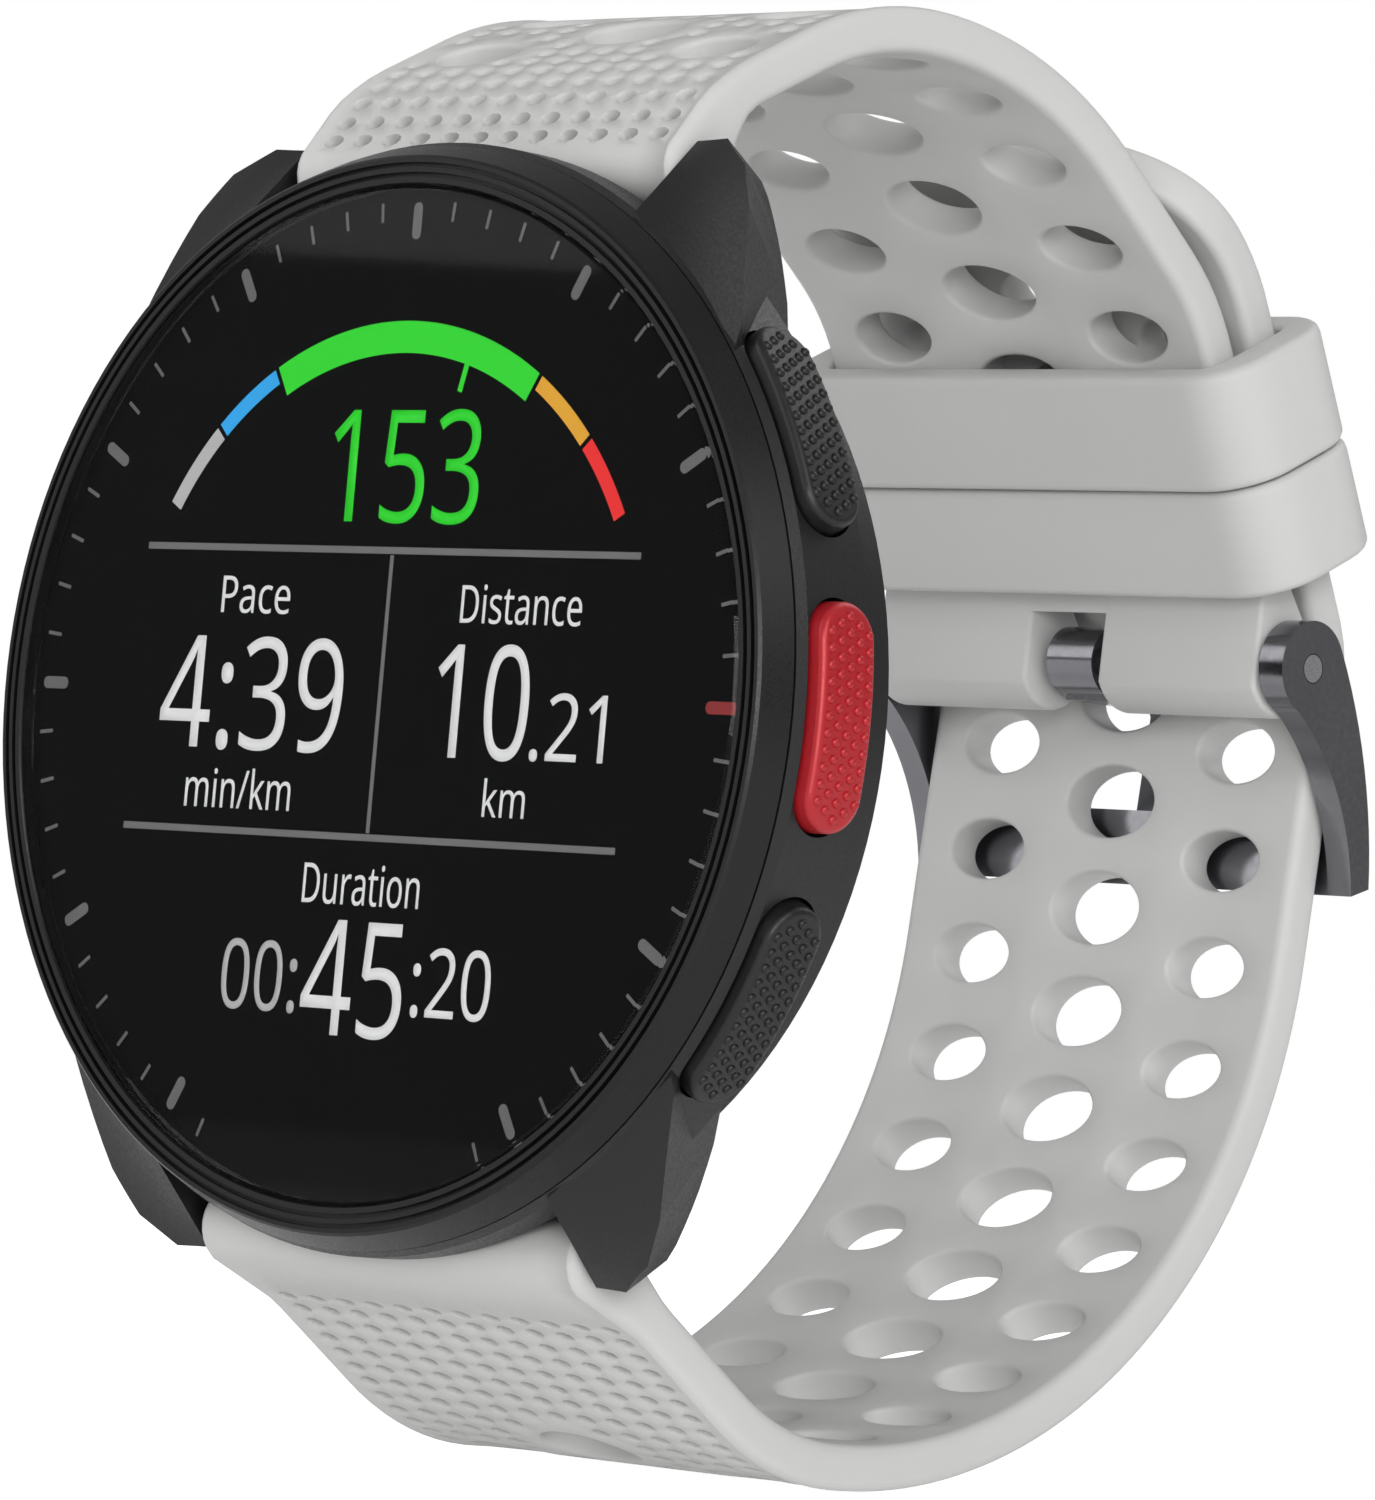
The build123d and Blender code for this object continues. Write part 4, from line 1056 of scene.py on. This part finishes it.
@dataclass(frozen=True)
class Button:
    """A push button's grip: staggered columns of low domes on the cap's curved face."""

    body: Body
    clock: float
    finish: Finish
    slot: Slot
    depth: float = 3.55
    face_radius: float = 23.2
    half_length: float = 4.5
    half_width: float = 1.5
    dome: float = 0.21
    rise: float = 0.17
    pitch: float = 0.66
    column_gap: float = 0.528
    overhang: float = 0.04
    sunk: float = 0.02
    steps: int = 12
    levels: int = 4
    # rows and columns either side of the middle
    rows: int = 8
    columns: int = 2

    def spots(self) -> np.ndarray:
        """Middles of the domes, along and across the cap, inside its round-ended outline."""
        rows, columns = (np.arange(-n, n + 1) for n in (self.rows, self.columns))
        along = (rows[:, None] + (columns % 2)[None, :] / 2) * self.pitch
        across = np.broadcast_to(columns * self.column_gap, along.shape)
        past = np.clip(np.abs(along) - (self.half_length - self.half_width), 0, None)
        inside = np.hypot(past, across) < self.half_width - self.dome + self.overhang
        return np.stack([along, across], axis=-1)[inside]

    def build(self) -> None:
        """Makes the domes: rings of a spherical cap, laid on the cylinder of the cap's face."""
        steps, levels = self.steps, self.levels
        angle = np.arange(steps) * 2 * pi / steps
        lift = np.linspace(0, pi / 2, levels + 1)[:-1, None]
        ring = np.cos(lift) * self.dome
        along = self.spots()[:, 0, None, None] + ring * np.cos(angle)
        across = self.spots()[:, 1, None, None] + ring * np.sin(angle)
        radius = self.face_radius + np.sin(lift) * self.rise - self.sunk
        turn = radians(self.clock) + along / self.face_radius
        depth = across + self.depth - WRIST_DEPTH
        points = np.stack([radius * np.cos(turn), depth, radius * np.sin(turn)], axis=-1)
        lid, foot = range((levels - 1) * steps, levels * steps), range(steps - 1, -1, -1)
        faces = [*grid_faces(levels, steps, wrap=True).tolist(), list(lid), list(foot)]
        work = Patchwork()
        for dome in points:
            work.add(dome, faces)
        name, points = f"{self.body.value}_grip", work.all_points()
        make_piece(name, points, work.faces, self.finish, self.body, smooth_degrees=70)


# ---------------- dial


def crossings(spots: np.ndarray, start: np.ndarray, end: np.ndarray) -> np.ndarray:
    """Counts the outline edges that a ray to the right of each spot crosses.

    Args:
        spots: the points to test.
        start: each edge's first point.
        end: each edge's second point.

    Returns:
        One count for each spot; odd means inside.
    """
    x, y = spots[:, :1], spots[:, 1:]
    spans = (start[:, 1] > y) != (end[:, 1] > y)
    rise = np.where(end[:, 1] == start[:, 1], 1.0, end[:, 1] - start[:, 1])
    meets = start[:, 0] + (y - start[:, 1]) / rise * (end[:, 0] - start[:, 0])
    return (spans & (x < meets)).sum(axis=1)


@dataclass(frozen=True)
class Lettering:
    """A word or number on the display: the box it fills, in mm from the dial's middle."""

    name: str
    text: str
    left: float
    right: float
    low: float
    high: float
    ink: Finish
    weight: float = 0.0


@dataclass
class Dial:
    """The printed minute marks and the lit running screen, just under the glass."""

    back_depth: float = 0.86
    print_depth: float = 0.84
    thickness: float = 0.01
    rim: float = 20.4
    # each mark's outer end, length, width and corner radius
    hour_mark: tuple[float, float, float, float] = (19.9, 1.5, 0.5, 0.24)
    minute_mark: tuple[float, float, float, float] = (19.97, 0.78, 0.15, 0.02)
    pointer: tuple[float, float, float, float] = (13.82, 1.15, 0.26, 0.02)
    pointer_angle: float = 75.0
    gauge_outer: float = 15.1
    # the gauge's sectors: colour, inner radius, and the angles between which each lies
    sectors: tuple[tuple[str, Finish, float, float, float], ...] = (
        ("grey", INK_DIM, 14.45, 134.9, 149.6),
        ("blue", INK_BLUE, 14.45, 119.9, 134.1),
        ("green", INK_GREEN, 13.8, 59.3, 119.1),
        ("amber", INK_AMBER, 14.45, 44.4, 58.5),
        ("red", INK_RED, 14.45, 29.7, 43.6),
    )
    # half length, half width, and middle of each rule
    rules: tuple[tuple[float, float, float, float], ...] = (
        (14.2, 0.14, 0.0, 5.82),
        (14.2, 0.14, 0.0, -5.75),
        (0.1, 5.6, 0.27, 0.03),
    )

    def _lay(self, x: np.ndarray, z: np.ndarray, depth: float) -> np.ndarray:
        """Flat points at a depth behind the glass's front face."""
        return np.stack([x, np.full_like(x, depth - WRIST_DEPTH), z], axis=-1)

    def _flat(self, name: str, loops: list[np.ndarray], ink: Finish, depth: float) -> None:
        """A thin plate for each outline."""
        work = Patchwork()
        for loop in loops:
            front, back = (self._lay(*loop.T, d) for d in (depth, depth + self.thickness))
            work.add_grid(np.stack([front, back]), wrap=True)
            work.add_cap(front)
            work.add_cap(back)
        make_piece(name, work.all_points(), work.faces, ink, Body.WATCH)

    def _sector(self, inner: float, start: float, end: float) -> np.ndarray:
        """The outline of the gauge's sector between two angles in degrees, from an inner radius."""
        turn = np.radians(np.linspace(start, end, 40))
        way = np.stack([np.cos(turn), np.sin(turn)], axis=-1)
        return np.concatenate([self.gauge_outer * way, inner * way[::-1]])

    def _bar(self, mark: tuple[float, float, float, float], degrees: float) -> np.ndarray:
        """A round-cornered mark that points at the dial's middle."""
        radius, length, width, corner = mark
        loop = rounded_loop(length / 2, width / 2, corner, 5) + [radius - length / 2, 0]
        turn = radians(degrees)
        return loop @ np.array([[cos(turn), sin(turn)], [-sin(turn), cos(turn)]])

    def build(self) -> None:
        """Makes the back plate, the marks, the gauge, the rules and the lettering."""
        turn = np.arange(128) * 2 * pi / 128
        disc = self.rim * np.stack([np.cos(turn), np.sin(turn)], axis=-1)
        self._flat("display_back_print", [disc], DISPLAY_BLACK, self.back_depth)
        # marks by minute; there is none at the bottom, and the one at three is red
        hours = [m for m in range(0, 60, 5) if m not in (15, 30)]
        minutes = [m for m in range(60) if m % 5 and not 27 <= m <= 33]
        rules = [rounded_loop(across, up, 0.02, 2) + [x, z] for across, up, x, z in self.rules]
        plates = {
            "dial_hour_marks": ([self._bar(self.hour_mark, 90 - 6 * m) for m in hours], INK_MARK),
            "dial_minute_marks": ([self._bar(self.minute_mark, 90 - 6 * m) for m in minutes], INK_MARK),
            "dial_three_mark": ([self._bar(self.hour_mark, 0)], INK_MARK_RED),
            **{f"gauge_{name}": ([self._sector(*shape)], ink) for name, ink, *shape in self.sectors},
            "gauge_pointer": ([self._bar(self.pointer, self.pointer_angle)], INK_GREEN),
            "screen_rules": (rules, INK_LINE),
        }
        for name, (loops, ink) in plates.items():
            self._flat(name, loops, ink, self.print_depth)
        for word in (
            Lettering("screen_heart_rate", "153", -3.7, 4.85, 6.9, 11.55, INK_GREEN, 0.004),
            Lettering("screen_pace_label", "Pace", -9.5, -5.45, 3.12, 4.64, INK_GREY),
            Lettering("screen_pace", "4:39", -12.6, -1.9, -2.5, 2.2, INK_GREY, 0.004),
            Lettering("screen_pace_unit", "min/km", -10.67, -4.42, -4.85, -3.2, INK_GREY),
            Lettering("screen_distance_label", "Distance", 4.45, 11.23, 2.98, 4.55, INK_GREY),
            Lettering("screen_distance", "10", 3.5, 8.74, -2.45, 2.2, INK_GREY, 0.004),
            Lettering("screen_distance_part", ".21", 9.0, 13.08, -2.4, 0.35, INK_GREY, 0.003),
            Lettering("screen_distance_unit", "km", 6.65, 9.0, -4.67, -3.14, INK_GREY),
            Lettering("screen_time_label", "Duration", -3.2, 3.53, -8.5, -6.83, INK_GREY),
            Lettering("screen_hours", "00:", -7.5, -3.1, -13.0, -10.1, INK_DIM, 0.003),
            Lettering("screen_minutes", "45", -2.75, 3.05, -13.8, -9.1, INK_GREY, 0.004),
            Lettering("screen_seconds", ":20", 3.6, 8.0, -12.8, -9.95, INK_GREY, 0.003),
        ):
            self._word(word)

    def _font(self) -> bpy.types.VectorFont:
        """The plain grotesque that ships with Blender."""
        folder = bpy.utils.system_resource("DATAFILES", path="fonts")
        return bpy.data.fonts.load(f"{folder}/NotoSansHebrew-Regular.woff2", check_existing=True)

    def _word(self, word: Lettering) -> None:
        """Makes a word: the font's outlines are cut into triangles, and those inside are kept."""
        curve = bpy.data.curves.new(word.name, "FONT")
        curve.body = word.text
        curve.font = self._font()
        curve.offset = word.weight
        curve.resolution_u = 4
        curve.fill_mode = "NONE"
        holder = bpy.data.objects.new(word.name + "_outline", curve)
        bpy.context.scene.collection.objects.link(holder)
        graph = bpy.context.evaluated_depsgraph_get()
        mesh = bpy.data.meshes.new_from_object(holder.evaluated_get(graph))
        flat = np.empty(len(mesh.vertices) * 3)
        mesh.vertices.foreach_get("co", flat)
        flat = flat.reshape(-1, 3)[:, :2]
        edges = [tuple(e.vertices) for e in mesh.edges]
        bpy.data.objects.remove(holder)
        bpy.data.meshes.remove(mesh)
        start, end = flat[np.array(edges)].transpose(1, 0, 2)
        filled = delaunay_2d_cdt([Vector(p) for p in flat], edges, [], 1, CUT_TOLERANCE)
        flat, triangles = np.array([tuple(v) for v in filled[0]]), np.array(filled[2])
        inside = crossings(flat[triangles].mean(axis=1), start, end) % 2 == 1
        low, high = flat.min(axis=0), flat.max(axis=0)
        share = (flat - low) / (high - low)
        x = word.left + share[:, 0] * (word.right - word.left)
        z = word.low + share[:, 1] * (word.high - word.low)
        points = self._lay(x, z, self.print_depth)
        obj = make_piece(
            word.name, points, triangles[inside], word.ink, Body.WATCH, weld=False
        )
        thick = obj.modifiers.new("thickness", "SOLIDIFY")
        thick.thickness = self.thickness * MM


# ---------------- CAD nodes that stay


# each button's angle round the case, in degrees from three o'clock
BUTTONS = {Body.OK: 0, Body.UP: 30, Body.DOWN: -30, Body.LIGHT: 150, Body.BACK: -150}
# the nodes that wear each finish
NODES: dict[Finish, str] = {
    CASE_POLYMER: "case_shell back_cover",
    BEZEL_STEEL: "bezel_ring",
    COVER_GLASS: "glass",
    SEAL_RUBBER: "glass_gasket back_gasket",
    DISPLAY_BLACK: "display_panel",
    TINNED_STEEL: "display_carrier shield_can side_switches motor_can",
    GOLD_PLATE: "gps_antenna charge_contacts",
    BOARD_LAMINATE: "main_board sensor_board",
    CHIP_EPOXY: "board_chips",
    BATTERY_FOIL: "battery",
    SINTERED_TUNGSTEN: "motor_rotor",
    SENSOR_GLASS: "sensor_window",
    LED_EPOXY: "sensor_leds",
    DIODE_SILICON: "photodiodes",
    BAR_STEEL: "motor_shaft back_screws upper_bar_tube lower_bar_tube upper_release_pin lower_release_pin"
    " buckle_pin",
    BUCKLE_STEEL: "buckle_frame buckle_tongue",
}


def dress_nodes(nodes: dict[str, bpy.types.Object]) -> None:
    """Gives each CAD node that stays its finish.

    Args:
        nodes: the frame's nodes by name.
    """
    finishes = {name: finish for finish, names in NODES.items() for name in names.split()}
    for button in BUTTONS:
        finishes[button.value] = RED_ALUMINIUM if button is Body.OK else BLACK_ALUMINIUM
        finishes[f"{button.value}_seal"] = SEAL_RUBBER
        finishes[f"{button.value}_clip"] = BAR_STEEL
    for name, finish in finishes.items():
        obj = nodes[name]
        if not obj.material_slots:
            obj.data.materials.append(None)
        for material_slot in obj.material_slots:
            material_slot.material = paint(finish)
        log.info("dressed %s", name)


# ---------------- studio


@dataclass(frozen=True)
class Studio:
    """Floor, sky, lights and camera, in metres, degrees and watts."""

    floor_height: float
    floor_reach: float = 4.0
    floor_glow: float = 0.35
    sky_strength: float = 0.32
    # each soft box: its name, place, width and power
    boxes: tuple[tuple[str, tuple[float, float, float], float, float], ...] = (
        ("key", (0.9, -0.35, 0.55), 0.5, 3.5),
        ("front", (0.75, -0.85, 0.05), 0.6, 8),
        ("fill", (-0.5, -0.9, 0.5), 0.8, 3),
        ("rim", (0.1, 0.8, 0.9), 0.7, 2.5),
    )
    camera_place: tuple[float, float, float] = (0.24992, -0.26708, -0.01688)
    azimuth: float = 44.10
    elevation: float = -2.609
    roll: float = 5.031
    lens: float = 207.4

    def seen(self, tree: bpy.types.NodeTree, unseen: float) -> bpy.types.NodeSocket:
        """A strength of one where the camera looks straight at it, and unseen for all other light."""
        ray = {"Value": add_node(tree, "ShaderNodeLightPath").outputs["Is Camera Ray"]}
        return add_node(tree, "ShaderNodeMapRange", {"To Min": unseen}, ray).outputs[0]

    def floor(self) -> None:
        """A wide pale floor just under the strap, lit from below so that it reads white."""
        size, z = self.floor_reach, self.floor_height
        points = [(-size, -size, z), (size, -size, z), (size, size, z), (-size, size, z)]
        mesh = bpy.data.meshes.new("studio_floor")
        mesh.from_pydata(points, [], [(0, 1, 2, 3)])
        # opal acrylic sheet, cast and sanded: an even white without shine
        acrylic = Finish(
            "opal_acrylic_white", "f4f4f4", "f1f1f1", 0.7, 0.04, bump=0.0, mottle_mm=80, glow="e6e6e6"
        )
        material = acrylic.make()
        tree = material.node_tree
        shader = next(n for n in tree.nodes if n.type == "BSDF_PRINCIPLED")
        tree.links.new(self.seen(tree, self.floor_glow), shader.inputs["Emission Strength"])
        mesh.materials.append(material)
        obj = bpy.data.objects.new("studio_floor", mesh)
        bpy.context.scene.collection.objects.link(obj)
        obj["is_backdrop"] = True

    def sky(self) -> None:
        """A white surround that lights the watch only softly, so that black finishes stay deep."""
        world = bpy.data.worlds.new("studio_sky")
        world.use_nodes = True
        tree = world.node_tree
        back = tree.nodes["Background"]
        back.inputs["Color"].default_value = (1.0, 1.0, 1.0, 1.0)
        tree.links.new(self.seen(tree, self.sky_strength), back.inputs["Strength"])
        bpy.context.scene.world = world

    def lights(self) -> None:
        """Square soft boxes that face the watch."""
        for name, place, size, power in self.boxes:
            data = bpy.data.lights.new(name, "AREA")
            data.size = size
            data.energy = power
            obj = bpy.data.objects.new(name, data)
            obj.location = place
            obj.rotation_euler = Vector(place).to_track_quat("Z", "Y").to_euler()
            bpy.context.scene.collection.objects.link(obj)

    def camera(self) -> None:
        """The camera, turned by its azimuth, elevation and roll."""
        azimuth, elevation, roll = radians(self.azimuth), radians(self.elevation), radians(self.roll)
        back = Vector((sin(azimuth) * cos(elevation), -cos(azimuth) * cos(elevation), sin(elevation)))
        right = Vector((cos(azimuth), sin(azimuth), 0.0))
        up = back.cross(right)
        axes = (right * cos(roll) + up * sin(roll), up * cos(roll) - right * sin(roll), back)
        data = bpy.data.cameras.new("camera")
        data.lens = self.lens
        data.clip_start = 0.01
        obj = bpy.data.objects.new("camera", data)
        obj.matrix_world = Matrix.Translation(self.camera_place) @ Matrix(axes).transposed().to_4x4()
        bpy.context.scene.collection.objects.link(obj)
        bpy.context.scene.camera = obj

    def build(self) -> None:
        """Makes the whole studio."""
        bpy.context.scene.view_settings.view_transform = "Standard"
        self.floor()
        self.sky()
        self.lights()
        self.camera()


def main() -> None:
    """Builds the watch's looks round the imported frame."""
    logging.basicConfig(level=logging.INFO, format="%(name)s: %(message)s")
    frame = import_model()
    low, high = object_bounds()
    dress_nodes(frame["nodes"])
    StrapPair().build()
    BuckleEnd().build()
    Keeper("keeper_fixed", "fixed_keeper", Body.WATCH, start=3.7, length=4.85, low=-0.3).build()
    Keeper("keeper_free", "free_keeper", Body.FREE_KEEPER, start=8.65, length=5.2, low=-0.6).build()
    for body, clock in BUTTONS.items():
        red = body is Body.OK
        finish, slot = (RED_ALUMINIUM, Slot.RED_CAP) if red else (BLACK_ALUMINIUM, Slot.BLACK_CAP)
        Button(body, clock, finish, slot).build()
    Dial().build()
    Studio(low[2] - FLOOR_GAP).build()


if __name__ == "__main__":
    main()
